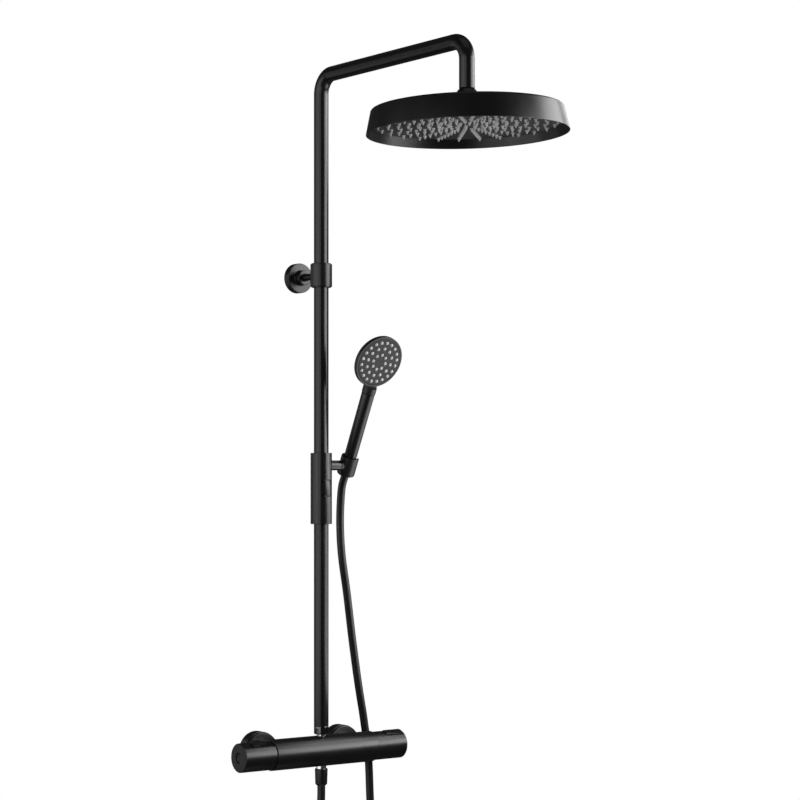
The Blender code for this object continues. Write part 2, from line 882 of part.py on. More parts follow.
def build_holder_cup():
    outer = CUP_OD / 2
    half = CUP_HEIGHT / 2
    pivot = (CUP_X, PIPE_Y, CUP_Z)
    cup = lathe(
        "holder_cup",
        [
            (0, half),
            (outer - 0.6, half),
            (outer, half - 0.6),
            (outer, 3 - half),
            (outer - 0.9, 0.9 - half),
            (outer - 3, -half),
            (0, -half),
        ],
        pivot,
        HAND_AXIS,
        32,
    )
    hub_end = CUP_X - CUP_TOP_BORE / 2 - 0.5
    hub_start = PIN_SEAM_X + TURN_GAP
    at = (0, PIPE_Y, CUP_Z)
    hub = rod("hub", HOLDER_PIN_OD / 2, hub_end, hub_start, at, X_AXIS, 20)
    combine(cup, hub, "UNION")
    slope = (CUP_TOP_BORE - CUP_LOW_BORE) / 2 / CUP_HEIGHT
    seat = lathe(
        "seat",
        [
            (0, half + 3),
            (CUP_TOP_BORE / 2 + 3 * slope, half + 3),
            (CUP_LOW_BORE / 2 - 3 * slope, -half - 3),
            (0, -half - 3),
        ],
        pivot,
        HAND_AXIS,
        28,
    )
    combine(cup, seat, "DIFFERENCE")
    hole = rod("bolt hole", PIN_BOLT_OD / 2 + GAP, CUP_X, PIN_SEAM_X - 3, (0, PIPE_Y, CUP_Z), X_AXIS, 12)
    combine(cup, hole, "DIFFERENCE")
    outline = [(20, CUP_SLOT / 2), (0, CUP_SLOT / 2), (0, -CUP_SLOT / 2), (20, -CUP_SLOT / 2)]
    slot = prism("hose slot", outline, -half - 4, half + 4, pivot)
    turn = Matrix((X_AXIS, HAND_AXIS.cross(X_AXIS), HAND_AXIS)).transposed()
    slot.rotation_quaternion = turn.to_quaternion()
    combine(cup, slot, "DIFFERENCE")
    dress(cup, "black")


# --------------------------------------------------------------- hand shower
def hand_lathe(name, profile, steps=32, closed=False):
    """A piece turned about the hand shower's axis; heights run up from the cup's centre."""
    return lathe(name, profile, CUP_CENTRE, HAND_AXIS, steps, closed)


def build_hand_shower():
    seam = DISC_FROM_CUP - DISC_OD / 2 - NECK_LENGTH
    grip_foot = GRIP_FOOT_FROM_CUP
    top = GRIP_TOP_OD / 2
    low = GRIP_FOOT_OD / 2
    bore = low - GRIP_WALL
    grip = hand_lathe(
        "hand_grip",
        [
            (bore, seam - 0.4),
            (top - 0.4, seam - 0.4),
            (top, seam - 0.8),
            (low, grip_foot + 0.5),
            (low - 0.5, grip_foot),
            (bore, grip_foot),
        ],
        28,
        closed=True,
    )
    dress(grip, "black")
    connector = hand_lathe(
        "hand_connector",
        [
            (3.6, grip_foot + 8),
            (bore - GAP, grip_foot + 8),
            (bore - GAP, grip_foot - 8),
            (3.6, grip_foot - 8),
        ],
        16,
        closed=True,
    )
    dress(connector, "brass")
    nut_top = grip_foot - GAP
    nut_foot = nut_top - HOSE_NUT_LENGTH
    nut = hand_lathe(
        "hose_nut_upper",
        [
            (bore, nut_top),
            (CUP_TOP_BORE / 2 - 1.2, nut_top),
            (CUP_LOW_BORE / 2 - 0.9, nut_foot + 1),
            (CUP_LOW_BORE / 2 - 1.6, nut_foot),
            (3.9, nut_foot),
            (3.9, grip_foot - 11),
            (bore, grip_foot - 11),
        ],
        24,
        closed=True,
    )
    dress(nut, "black")
    washer = hand_lathe(
        "hand_washer",
        [
            (3.9, grip_foot - 8.3),
            (bore - 0.4, grip_foot - 8.3),
            (bore - 0.4, grip_foot - 10.5),
            (3.9, grip_foot - 10.5),
        ],
        16,
        closed=True,
    )
    dress(washer, "rubber")
    build_hand_head(seam)


def build_hand_head(seam):
    """The disc, its neck, the face plate and the nozzle mat."""
    centre = CUP_CENTRE + HAND_AXIS * DISC_FROM_CUP
    radius = DISC_OD / 2
    front = DISC_FRONT
    back = front - DISC_RIM
    shell = lathe(
        "hand_head_shell",
        [
            (0, front - 1.6),
            (radius - 3.4, front - 1.6),
            (radius - 3.0, front),
            (radius - 0.9, front),
            (radius, front - 0.9),
            (radius, back + 1.4),
            (radius - 1.4, back),
            (radius - 12, back - 2.2),
            (radius - 24, back - 3.6),
            (0, back - 4.2),
        ],
        centre,
        HAND_FACE,
        40,
    )
    neck_r = HAND_NECK_OD / 2
    top = DISC_FROM_CUP - 6
    neck = hand_lathe(
        "neck",
        [
            (0, top),
            (4.0, top - 1.0),
            (7.4, top - 5),
            (9.4, top - 14),
            (neck_r, top - 24),
            (neck_r, seam + 0.5),
            (neck_r - 0.5, seam),
            (0, seam),
        ],
        28,
    )
    step = 2 * (radius + 2.2)
    trim = prism("trim", rounded_outline(60, step, 5, 2), front - 2, 30, centre, HAND_FACE)
    combine(neck, trim, "DIFFERENCE")
    combine(shell, neck, "UNION")
    way = seam + NECK_LENGTH - 4
    waterway = hand_lathe("waterway", [(0, way), (6.6, way), (6.6, seam - 3), (0, seam - 3)], 12)
    combine(shell, waterway, "DIFFERENCE")
    dress(shell, "black")
    plate_r = radius - 3.4 - GAP
    plate = lathe(
        "hand_face_plate",
        [
            (0, front),
            (plate_r - 0.5, front),
            (plate_r, front - 0.5),
            (plate_r, front - 1.3),
            (0, front - 1.3),
        ],
        centre,
        HAND_FACE,
        36,
    )
    dress(plate, "face")


# ----------------------------------------------------------------- rain head
def build_rain_head():
    pivot = bpy.data.objects.new("head_pivot", None)
    bpy.context.scene.collection.objects.link(pivot)
    pivot.location = Vector((0, HEAD_Y, HEAD_BALL_Z)) * MM
    pivot.rotation_euler = (math.radians(HEAD_TILT_X), math.radians(HEAD_TILT_Y), 0)
    ball_r = BALL_OD / 2
    socket = BALL_SOCKET_R
    nut_r = BALL_NUT_R
    nut_top = nut_r * math.sin(math.radians(BALL_NUT_TOP_ANGLE))
    shoulder = max(DROP_FOOT + 1.5, nut_top + 1.32)
    top = HEAD_TOP_DROP
    boss_r = 9.6
    around = [math.radians(60 - 21.5 * i) for i in range(7)]
    ball = lathe(
        "swivel_ball",
        [
            (3.5, 32),
            (PIPE_BORE_R - GAP, 32),
            (PIPE_BORE_R - GAP, shoulder),
            (ball_r / 2, shoulder),
        ]
        + [(ball_r * math.cos(a), ball_r * math.sin(a)) for a in around]
        + [(3.5, -ball_r * math.sin(math.radians(69)))],
        (0, HEAD_Y, HEAD_BALL_Z),
        steps=14,
        closed=True,
    )
    dress(ball, "chrome")
    arcs = [math.radians(angle) for angle in (-8, -19, -30)]
    seat = lathe(
        "ball_seat",
        [((socket - 0.3) * math.cos(a), (socket - 0.3) * math.sin(a)) for a in arcs]
        + [((ball_r + 0.25) * math.cos(a), (ball_r + 0.25) * math.sin(a)) for a in reversed(arcs)],
        (0, 0, 0),
        steps=24,
        closed=True,
    )
    dress(seat, "white_plastic")
    seat.parent = pivot
    mouth = socket * math.cos(math.radians(BALL_MOUTH_ANGLE))
    outside = [math.radians(angle) for angle in (BALL_NUT_TOP_ANGLE, 38, 19, 0)]
    inside = [math.radians(angle) for angle in (-35, -12, 12, BALL_MOUTH_ANGLE)]
    nut = lathe(
        "ball_nut",
        [(nut_r * math.cos(a), nut_r * math.sin(a)) for a in outside]
        + [(nut_r, top + GAP), (socket * math.cos(inside[0]), top + GAP)]
        + [(socket * math.cos(a), socket * math.sin(a)) for a in inside]
        + [(mouth, nut_r * math.sin(outside[0]) - 1.7)],
        (0, 0, 0),
        steps=24,
        closed=True,
    )
    dress(nut, "black")
    nut.parent = pivot
    build_head_body(pivot, top, boss_r)


def build_head_body(pivot, top, boss_r):
    """The shell with its boss, the spray plate and the nozzle mat behind it."""
    wall = HEAD_WALL
    rim = top - HEAD_HEIGHT
    top_r = HEAD_TOP_OD / 2
    rim_r = HEAD_RIM_OD / 2
    shell = lathe(
        "head_shell",
        [
            (5, top + 2.2),
            (boss_r, top + 2.2),
            (boss_r, top),
            (top_r - 5, top),
            (top_r - 1.8, top - 1.1),
            (top_r, top - 4),
            (rim_r, rim),
            (rim_r - wall, rim),
            (top_r - wall - 0.2, top - 5),
            (top_r - 5, top - wall - 0.8),
            (5, top - wall - 0.8),
        ],
        (0, 0, 0),
        steps=48,
        closed=True,
    )
    dress(shell, "black")
    shell.parent = pivot
    slope = (rim_r - top_r) / (HEAD_HEIGHT - 4)
    low = rim + HEAD_PLATE_RECESS
    high = low + HEAD_PLATE_THICK
    plate_r = rim_r - wall - slope * (HEAD_PLATE_RECESS + HEAD_PLATE_THICK) - 0.9
    plate = rod("spray_plate", plate_r, high, low, (0, 0, 0), steps=56)
    dress(plate, "face")
    plate.parent = pivot
    mat_r = plate_r - 6
    mat = rod("nozzle_mat", mat_r, high + GAP + 1.6, high + GAP, (0, 0, 0), steps=40)
    dress(mat, "silicone")
    mat.parent = pivot


# ---------------------------------------------------------------------- hose
def hose_route():
    """Chosen places of the hose's centre, from under the holder to the nut under the bar."""
    start = CUP_CENTRE + HAND_AXIS * (GRIP_FOOT_FROM_CUP - 2 * GAP - HOSE_NUT_LENGTH)
    end = Vector((0, PIPE_Y, LOWER_NUT_FOOT_Z - GAP))
    route = [start, start - HAND_AXIS * 18]
    route += [
        Vector(place)
        for place in (
            (50.4, -45.2, -340),
            (51.0, -43.0, -375),
            (54.4, -42.2, -418),
            (67.0, -38.6, -480),
            (80.3, -34.0, -550),
            (94.5, -30.2, -620),
            (106.5, -28.0, -675),
            (115.2, -27.5, -730),
            (118.6, -28.0, -800),
            (121.5, -30.5, -880),
            (123.5, -35.0, -950),
            (118.0, -40.5, -1006),
            (98.0, -46.0, -1050),
            (61.0, -51.5, -1070),
            (25.0, -56.0, -1052),
            (4.0, -60.0, -1008),
            (-3.5, -63.0, -950),
            (-4.6, -65.0, -880),
            (-2.2, -66.0, -822),
        )
    ]
    route += [end - Z_AXIS * 14, end]
    return route


def smooth_route(chosen, count):
    """Evenly spaced points on a centripetal curve through the chosen ones."""
    dense = []
    padded = [2 * chosen[0] - chosen[1], *chosen, 2 * chosen[-1] - chosen[-2]]
    for a, b, c, d in zip(padded, padded[1:], padded[2:], padded[3:]):
        t0 = 0.0
        t1 = t0 + (b - a).length ** 0.5
        t2 = t1 + (c - b).length ** 0.5
        t3 = t2 + (d - c).length ** 0.5
        for step in range(24):
            t = t1 + (t2 - t1) * step / 24
            p = a.lerp(b, (t - t0) / (t1 - t0))
            q = b.lerp(c, (t - t1) / (t2 - t1))
            r = c.lerp(d, (t - t2) / (t3 - t2))
            u = p.lerp(q, (t - t0) / (t2 - t0))
            v = q.lerp(r, (t - t1) / (t3 - t1))
            dense.append(u.lerp(v, (t - t1) / (t2 - t1)))
    dense.append(chosen[-1])
    reach = [0.0]
    for before, after in zip(dense, dense[1:]):
        reach.append(reach[-1] + (after - before).length)
    points = []
    index = 0
    for step in range(count):
        wanted = reach[-1] * step / (count - 1)
        while index < len(dense) - 2 and reach[index + 1] < wanted:
            index += 1
        share = (wanted - reach[index]) / (reach[index + 1] - reach[index])
        points.append(dense[index].lerp(dense[index + 1], share))
    return points


def build_hose():
    points = smooth_route(hose_route(), HOSE_POINTS)
    data = bpy.data.curves.new("hose", "CURVE")
    data.dimensions = "3D"
    data.bevel_depth = HOSE_OD / 2 * MM
    data.bevel_resolution = 2
    data.use_fill_caps = True
    data.twist_mode = "MINIMUM"
    spline = data.splines.new("POLY")
    spline.points.add(len(points) - 1)
    for point, place in zip(spline.points, points):
        point.co = (*(place * MM), 1)
    hose = new_object("hose", data)
    dress(hose, "hose")


def main():
    clear_scene()
    build_mixer_body()
    for word, sign in (("left", -1), ("right", 1)):
        build_cartridge({"left": "thermostat_cartridge", "right": "diverter_cartridge"}[word], sign)
        build_cartridge_nut(f"cartridge_nut_{word}", sign)
        build_inlet(word, sign)
    build_temperature_handle()
    build_temperature_button()
    build_end_cap("temperature_end_cap", -1)
    build_flow_handle()
    build_flow_tab()
    build_end_cap("flow_end_cap", 1)
    build_riser_foot()
    build_outlet()
    build_pipes()
    build_bracket()
    build_slider()
    build_holder_cup()
    build_hand_shower()
    build_rain_head()
    build_hose()


main()
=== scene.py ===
"""Matt black rainfall shower column: fine pieces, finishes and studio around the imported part."""

import json
import logging
import math
from collections.abc import Sequence
from dataclasses import dataclass, field
from enum import Enum
from typing import Any

import bpy
from mathutils import Euler, Matrix, Vector

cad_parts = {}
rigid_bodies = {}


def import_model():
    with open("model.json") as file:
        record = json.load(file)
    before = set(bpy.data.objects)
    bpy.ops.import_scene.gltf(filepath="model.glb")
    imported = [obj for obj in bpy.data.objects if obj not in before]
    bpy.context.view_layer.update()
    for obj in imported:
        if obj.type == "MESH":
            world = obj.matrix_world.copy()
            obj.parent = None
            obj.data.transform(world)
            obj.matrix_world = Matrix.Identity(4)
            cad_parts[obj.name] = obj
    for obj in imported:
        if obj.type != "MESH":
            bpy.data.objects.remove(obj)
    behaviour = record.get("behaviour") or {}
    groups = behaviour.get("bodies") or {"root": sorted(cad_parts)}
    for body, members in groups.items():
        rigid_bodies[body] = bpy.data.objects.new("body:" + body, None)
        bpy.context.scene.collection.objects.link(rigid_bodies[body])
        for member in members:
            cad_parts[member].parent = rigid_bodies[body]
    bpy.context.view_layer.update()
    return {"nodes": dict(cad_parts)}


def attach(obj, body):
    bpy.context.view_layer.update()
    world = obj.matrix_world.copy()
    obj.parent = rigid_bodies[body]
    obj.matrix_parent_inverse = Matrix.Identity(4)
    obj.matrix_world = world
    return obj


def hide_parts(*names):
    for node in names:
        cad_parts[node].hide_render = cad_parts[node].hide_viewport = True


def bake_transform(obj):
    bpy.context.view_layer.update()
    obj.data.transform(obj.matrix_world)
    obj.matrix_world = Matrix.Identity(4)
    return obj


LOG = logging.getLogger("shower_column")

MM = 0.001
FULL_TURN = math.tau
SHARP_EDGE = math.radians(32)

Point = tuple[float, float]
Corner = tuple[float, float, float]


# ------------------------------------------------------------------ finishes
class Grain(Enum):
    """How a surface's fine relief runs."""

    POWDER = "powder"
    MOULDED = "moulded"
    TURNED = "turned"
    POLISHED = "polished"


class Body(Enum):
    """The rigid groups that pieces ride on."""

    COLUMN = "column"
    ARM = "arm"
    SEAT = "ball_seat"
    HEAD = "head"
    TEMPERATURE = "temperature_knob"
    STOP = "temperature_stop"
    FLOW = "flow_knob"
    BUSHES = "slider_bushes"
    SLIDER = "slider"
    BUTTON = "slider_button"
    HOLDER = "holder"
    HAND = "hand_shower"


@dataclass(frozen=True)
class Finish:
    """One surface finish and the node material made from it."""

    name: str
    colour: tuple[float, float, float]
    roughness: float
    metallic: float = 0.0
    specular: float = 0.5
    coat: float = 0.0
    coat_roughness: float = 0.15
    grain: Grain = Grain.POWDER
    grain_scale: float = 900.0
    grain_depth: float = 0.000012
    smudge_scale: float = 22.0
    roughness_spread: float = 0.07
    colour_spread: float = 0.25

    def material(self) -> bpy.types.Material:
        """The finish's material, made once.

        Returns:
            The node material of this finish.
        """
        found = bpy.data.materials.get(self.name)
        return found if found else self._make()

    def _make(self) -> bpy.types.Material:
        """Builds the node tree: colour drift, smudged roughness and fine relief.

        Returns:
            The new material.
        """
        made = bpy.data.materials.new(self.name)
        made.use_nodes = True
        made.diffuse_color = (*self.colour, 1.0)
        nodes, links = made.node_tree.nodes, made.node_tree.links
        shader = nodes["Principled BSDF"]
        shader.inputs["Metallic"].default_value = self.metallic
        shader.inputs["Specular IOR Level"].default_value = self.specular
        shader.inputs["Coat Weight"].default_value = self.coat
        shader.inputs["Coat Roughness"].default_value = self.coat_roughness
        place = nodes.new("ShaderNodeTexCoord")

        drift = nodes.new("ShaderNodeTexNoise")
        drift.inputs["Scale"].default_value = self.smudge_scale
        drift.inputs["Detail"].default_value = 5.0
        drift.inputs["Roughness"].default_value = 0.6
        links.new(place.outputs["Object"], drift.inputs["Vector"])

        shade = nodes.new("ShaderNodeMapRange")
        shade.inputs["To Min"].default_value = self.roughness - self.roughness_spread / 2
        shade.inputs["To Max"].default_value = self.roughness + self.roughness_spread / 2
        shade.inputs["From Min"].default_value = 0.3
        shade.inputs["From Max"].default_value = 0.7
        links.new(drift.outputs["Fac"], shade.inputs["Value"])
        links.new(shade.outputs["Result"], shader.inputs["Roughness"])

        ramp = nodes.new("ShaderNodeValToRGB")
        low = tuple(c * (1 - self.colour_spread / 2) for c in self.colour)
        high = tuple(min(1.0, c * (1 + self.colour_spread / 2)) for c in self.colour)
        ramp.color_ramp.elements[0].position = 0.32
        ramp.color_ramp.elements[1].position = 0.68
        ramp.color_ramp.elements[0].color = (*low, 1.0)
        ramp.color_ramp.elements[1].color = (*high, 1.0)
        links.new(drift.outputs["Fac"], ramp.inputs["Fac"])
        links.new(ramp.outputs["Color"], shader.inputs["Base Color"])

        relief = self._relief(nodes, links, place)
        bump = nodes.new("ShaderNodeBump")
        bump.inputs["Strength"].default_value = 0.5
        bump.inputs["Distance"].default_value = self.grain_depth
        links.new(relief, bump.inputs["Height"])
        links.new(bump.outputs["Normal"], shader.inputs["Normal"])
        return made

    def _relief(self, nodes: Any, links: Any, place: Any) -> Any:
        """Adds the nodes of the fine relief.

        Args:
            nodes: The material's nodes.
            links: The material's links.
            place: The texture coordinate node.

        Returns:
            The socket that carries the relief's height.
        """
        stretch = nodes.new("ShaderNodeMapping")
        scale = {
            Grain.POWDER: (1.0, 1.0, 1.0),
            Grain.MOULDED: (1.0, 1.0, 1.0),
            Grain.TURNED: (0.06, 1.0, 1.0),
            Grain.POLISHED: (1.0, 1.0, 0.3),
        }[self.grain]
        stretch.inputs["Scale"].default_value = scale
        links.new(place.outputs["Object"], stretch.inputs["Vector"])
        if self.grain is Grain.MOULDED:
            cells = nodes.new("ShaderNodeTexVoronoi")
            cells.feature = "SMOOTH_F1"
            cells.inputs["Scale"].default_value = self.grain_scale
            links.new(stretch.outputs["Vector"], cells.inputs["Vector"])
            return cells.outputs["Distance"]
        noise = nodes.new("ShaderNodeTexNoise")
        noise.inputs["Scale"].default_value = self.grain_scale
        noise.inputs["Detail"].default_value = 3.0
        links.new(stretch.outputs["Vector"], noise.inputs["Vector"])
        return noise.outputs["Fac"]


BLACK_PAINT = Finish("satin_black_paint", (0.0065, 0.0065, 0.0067), 0.31, roughness_spread=0.05)
BLACK_TUBE = Finish("satin_black_tube", (0.0065, 0.0065, 0.0067), 0.25, roughness_spread=0.04)
BLACK_PLASTIC = Finish(
    "black_plastic", (0.009, 0.009, 0.0095), 0.4, grain=Grain.MOULDED, grain_scale=1900.0, grain_depth=0.00002
)
FACE_GREY = Finish(
    "spray_face_grey", (0.03, 0.031, 0.033), 0.42, grain=Grain.MOULDED, grain_scale=1600.0, grain_depth=0.00002
)
HAND_FACE_GREY = Finish(
    "hand_face_grey", (0.011, 0.0112, 0.012), 0.6, grain=Grain.MOULDED, grain_scale=1600.0, grain_depth=0.00002
)
PALE_SILICONE = Finish(
    "pale_silicone", (0.72, 0.72, 0.73), 0.42, grain=Grain.MOULDED, grain_scale=2500.0, grain_depth=0.00001
)
CHROME = Finish(
    "bright_chrome", (0.8, 0.8, 0.81), 0.12, 1.0, grain=Grain.POLISHED, grain_depth=0.000005, colour_spread=0.06
)
DARK_CHROME = Finish(
    "dark_chrome", (0.12, 0.12, 0.122), 0.12, 1.0, grain=Grain.POLISHED, grain_depth=0.000005, colour_spread=0.1
)
BRASS = Finish("turned_brass", (0.62, 0.45, 0.2), 0.32, 1.0, grain=Grain.TURNED, grain_scale=2600.0)
STEEL = Finish("plain_steel", (0.55, 0.55, 0.56), 0.3, 1.0, grain=Grain.TURNED, grain_scale=2400.0)
WHITE_PLASTIC = Finish(
    "white_plastic", (0.72, 0.72, 0.7), 0.45, grain=Grain.MOULDED, grain_scale=1700.0, colour_spread=0.05
)
BLACK_RUBBER = Finish("black_rubber", (0.02, 0.02, 0.02), 0.7, grain=Grain.MOULDED, grain_depth=0.00006)
HOSE_SLEEVE = Finish(
    "black_hose_sleeve", (0.008, 0.008, 0.0085), 0.36, grain=Grain.POWDER, grain_scale=700.0, smudge_scale=30.0
)
FLOOR_PAINT = Finish(
    "pale_floor", (0.8, 0.8, 0.8), 0.75, grain_scale=90.0, grain_depth=0.0004, smudge_scale=1.4, colour_spread=0.04
)


# ------------------------------------------------------------- shared shapes
def eased(corners: Sequence[Corner], closed: bool = False, arc: int = 5) -> list[Point]:
    """Rounds each corner of a profile by its own radius.

    Args:
        corners: (x, y, radius) of each corner, in order.
        closed: Whether the last corner joins the first.
        arc: How many steps each rounding takes.

    Returns:
        The points of the eased profile.
    """
    points: list[Point] = []
    count = len(corners)
    for index, (x, y, radius) in enumerate(corners):
        inside = closed or 0 < index < count - 1
        if radius <= 0 or not inside:
            points.append((x, y))
            continue
        here = Vector((x, y))
        before = Vector(corners[index - 1][:2]) - here
        after = Vector(corners[(index + 1) % count][:2]) - here
        half = before.angle(after) / 2
        reach = radius / math.tan(half)
        reach = min(reach, 0.48 * before.length, 0.48 * after.length)
        start = here + before.normalized() * reach
        end = here + after.normalized() * reach
        for step in range(arc + 1):
            t = step / arc
            spot = start * (1 - t) ** 2 + here * 2 * t * (1 - t) + end * t**2
            points.append((spot.x, spot.y))
    return points


def finished(mesh: bpy.types.Mesh) -> bpy.types.Mesh:
    """Shades a mesh smooth apart from its sharp edges."""
    mesh.polygons.foreach_set("use_smooth", [True] * len(mesh.polygons))
    mesh.set_sharp_from_angle(angle=SHARP_EDGE)
    mesh.update()
    return mesh


def turned(corners: Sequence[Corner], steps: int, closed: bool = False, arc: int = 5) -> bpy.types.Mesh:
    """Turns a profile about Z.

    Args:
        corners: (radius, height, easing) in millimetres, from top to bottom, and back up a bore.
        steps: How many sides the turn has.
        closed: Whether the profile is a loop clear of the axis.
        arc: How many steps each eased corner takes.

    Returns:
        A closed mesh, in metres.
    """
    profile = eased(corners, closed, arc)
    vertices: list[tuple[float, float, float]] = []
    rows: list[list[int]] = []
    for radius, height in profile:
        if radius < 1e-6:
            rows.append([len(vertices)] * steps)
            vertices.append((0.0, 0.0, height * MM))
            continue
        rows.append(list(range(len(vertices), len(vertices) + steps)))
        for step in range(steps):
            angle = FULL_TURN * step / steps
            vertices.append((radius * math.cos(angle) * MM, radius * math.sin(angle) * MM, height * MM))
    pairs = list(zip(rows, rows[1:]))
    if closed:
        pairs.append((rows[-1], rows[0]))
    faces = []
    for upper, lower in pairs:
        for step in range(steps):
            after = (step + 1) % steps
            loop = [upper[step], lower[step], lower[after], upper[after]]
            loop = [v for i, v in enumerate(loop) if v != loop[i - 1]]
            if len(loop) > 2:
                faces.append(loop)
    mesh = bpy.data.meshes.new("turned")
    mesh.from_pydata(vertices, [], faces)
    return mesh


def slab(outline: Sequence[Point], low: float, high: float) -> bpy.types.Mesh:
    """Pushes an anticlockwise outline from low to high along Z, in millimetres.

    Args:
        outline: The outline's points.
        low: The height of its underside.
        high: The height of its top.

    Returns:
        A closed mesh, in metres.
    """
    count = len(outline)
    vertices = [(x * MM, y * MM, low * MM) for x, y in outline]
    vertices += [(x * MM, y * MM, high * MM) for x, y in outline]
    faces: list[list[int]] = [list(reversed(range(count))), list(range(count, 2 * count))]
    for index in range(count):
        after = (index + 1) % count
        faces.append([index, after, count + after, count + index])
    mesh = bpy.data.meshes.new("slab")
    mesh.from_pydata(vertices, [], faces)
    return mesh


def box_outline(width: float, height: float, corner: float = 0.0, arc: int = 6) -> list[Point]:
    """A rectangle about the origin with round corners, anticlockwise."""
    x, y = width / 2, height / 2
    corners = [(x, y, corner), (-x, y, corner), (-x, -y, corner), (x, -y, corner)]
    return eased(corners, True, arc)


def along(direction: Vector, place: Sequence[float]) -> Matrix:
    """A matrix that turns Z to a direction and moves to a place in millimetres."""
    turn = direction.to_track_quat("Z", "Y").to_matrix().to_4x4()
    return Matrix.Translation(Vector(place) * MM) @ turn


def settled(mesh: bpy.types.Mesh, matrix: Matrix) -> bpy.types.Mesh:
    """Moves a mesh to its place and returns it."""
    mesh.transform(matrix)
    return mesh


def shaped(mesh: bpy.types.Mesh, *changes: tuple[str, dict[str, Any]]) -> bpy.types.Mesh:
    """Runs modifiers on a mesh and returns the result as a plain mesh.

    Args:
        mesh: The mesh to change.
        changes: (modifier type, its settings) in order.

    Returns:
        The finished mesh.
    """
    block = bpy.data.objects.new("shaping", mesh)
    bpy.context.scene.collection.objects.link(block)
    for kind, settings in changes:
        change = block.modifiers.new(kind, kind)
        for key, value in settings.items():
            setattr(change, key, value)
    graph = bpy.context.evaluated_depsgraph_get()
    made = bpy.data.meshes.new_from_object(block.evaluated_get(graph))
    bpy.data.objects.remove(block)
    return made


def carved(mesh: bpy.types.Mesh, *tools: tuple[bpy.types.Mesh, str]) -> bpy.types.Mesh:
    """Cuts and joins meshes one after another.

    Args:
        mesh: The mesh that is worked on.
        tools: (mesh, operation) in order.

    Returns:
        The resulting mesh.
    """
    helpers = []
    changes = []
    for tool, operation in tools:
        helper = bpy.data.objects.new("tool", tool)
        bpy.context.scene.collection.objects.link(helper)
        helpers.append(helper)
        changes.append(("BOOLEAN", {"object": helper, "operation": operation, "solver": "EXACT"}))
    made = shaped(mesh, *changes)
    for helper in helpers:
        bpy.data.objects.remove(helper)
    return made


def soft_edged(mesh: bpy.types.Mesh, width: float, segments: int = 3, limit: float = 40.0) -> bpy.types.Mesh:
    """Eases every sharp edge of a mesh by a width in millimetres."""
    settings = {
        "width": width * MM,
        "segments": segments,
        "limit_method": "ANGLE",
        "angle_limit": math.radians(limit),
        "use_clamp_overlap": True,
    }
    return shaped(mesh, ("BEVEL", settings))


def piece(
    name: str,
    mesh: bpy.types.Mesh,
    finish: Finish,
    body: Body | None,
    nodes: Sequence[str] = (),
) -> bpy.types.Object:
    """Makes a finished piece of a mesh that is already in place.

    Args:
        name: The piece's name.
        mesh: Its mesh, in place.
        finish: What it is finished in.
        body: The rigid group that it rides on, or None for one that bends across a joint.
        nodes: The plain solids that it stands for.

    Returns:
        The new object.
    """
    mesh.name = name
    mesh.materials.clear()
    mesh.materials.append(finish.material())
    made = bpy.data.objects.new(name, finished(mesh))
    bpy.context.scene.collection.objects.link(made)
    if body:
        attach(made, body.value)
    if nodes:
        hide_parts(*nodes)
    LOG.info("%s: %d faces", name, len(mesh.polygons))
    return made


# ----------------------------------------------------------- geometry trees
class Recipe:
    """A geometry node tree under construction, run once on a seed object."""

    def __init__(self, name: str) -> None:
        """Starts an empty tree.

        Args:
            name: The tree's name.
        """
        self.tree = bpy.data.node_groups.new(name, "GeometryNodeTree")
        self.tree.interface.new_socket("Geometry", in_out="INPUT", socket_type="NodeSocketGeometry")
        self.tree.interface.new_socket("Geometry", in_out="OUTPUT", socket_type="NodeSocketGeometry")
        self.start = self.tree.nodes.new("NodeGroupInput")
        self.end = self.tree.nodes.new("NodeGroupOutput")
        self.values: dict[str, float] = {}

    def size(self, label: str, value: float, whole: bool = False) -> Any:
        """Adds a named input and returns its socket inside the tree.

        Args:
            label: The input's name.
            value: The value that it is run with.
            whole: Whether it is a whole number.

        Returns:
            The socket on the tree's input node.
        """
        kind = "NodeSocketInt" if whole else "NodeSocketFloat"
        socket = self.tree.interface.new_socket(label, in_out="INPUT", socket_type=kind)
        self.values[socket.identifier] = value
        return self.start.outputs[label]

    def add(self, kind: str, settings: dict[str, Any] | None = None, **inputs: Any) -> Any:
        """Adds a node.

        Args:
            kind: The node's type, without its usual first words.
            settings: Attributes of the node itself.
            inputs: Input name, with _ for a space, to a socket or a value.

        Returns:
            The node.
        """
        node = self.tree.nodes.new("GeometryNode" + kind if not kind.startswith("Shader") else kind)
        for key, value in (settings or {}).items():
            setattr(node, key, value)
        for key, value in inputs.items():
            socket = node.inputs[int(key[1:])] if key[1:].isdigit() else node.inputs[key.replace("_", " ")]
            if isinstance(value, bpy.types.NodeSocket):
                self.tree.links.new(value, socket)
            else:
                socket.default_value = value
        return node

    def sum(self, operation: str, first: Any, second: Any) -> Any:
        """Adds a maths node on two sockets or values and returns its result."""
        return self.add("ShaderNodeMath", {"operation": operation}, n0=first, n1=second).outputs[0]

    def run(self, result: Any, finish: Finish, seed: bpy.types.Mesh | None = None) -> bpy.types.Mesh:
        """Ends the tree, runs it and returns a plain mesh.

        Args:
            result: The socket of the finished geometry.
            finish: The material to set on it.
            seed: The mesh that the tree starts from.

        Returns:
            The plain mesh.
        """
        real = self.add("RealizeInstances", Geometry=result)
        last = self.add("SetMaterial", Geometry=real.outputs[0], Material=finish.material())
        self.tree.links.new(last.outputs[0], self.end.inputs[0])
        block = bpy.data.objects.new("seed", seed or bpy.data.meshes.new("seed"))
        bpy.context.scene.collection.objects.link(block)
        change = block.modifiers.new("recipe", "NODES")
        change.node_group = self.tree
        for identifier, value in self.values.items():
            change[identifier] = value
        graph = bpy.context.evaluated_depsgraph_get()
        made = bpy.data.meshes.new_from_object(block.evaluated_get(graph))
        block.modifiers.remove(change)
        bpy.data.objects.remove(block)
        return made


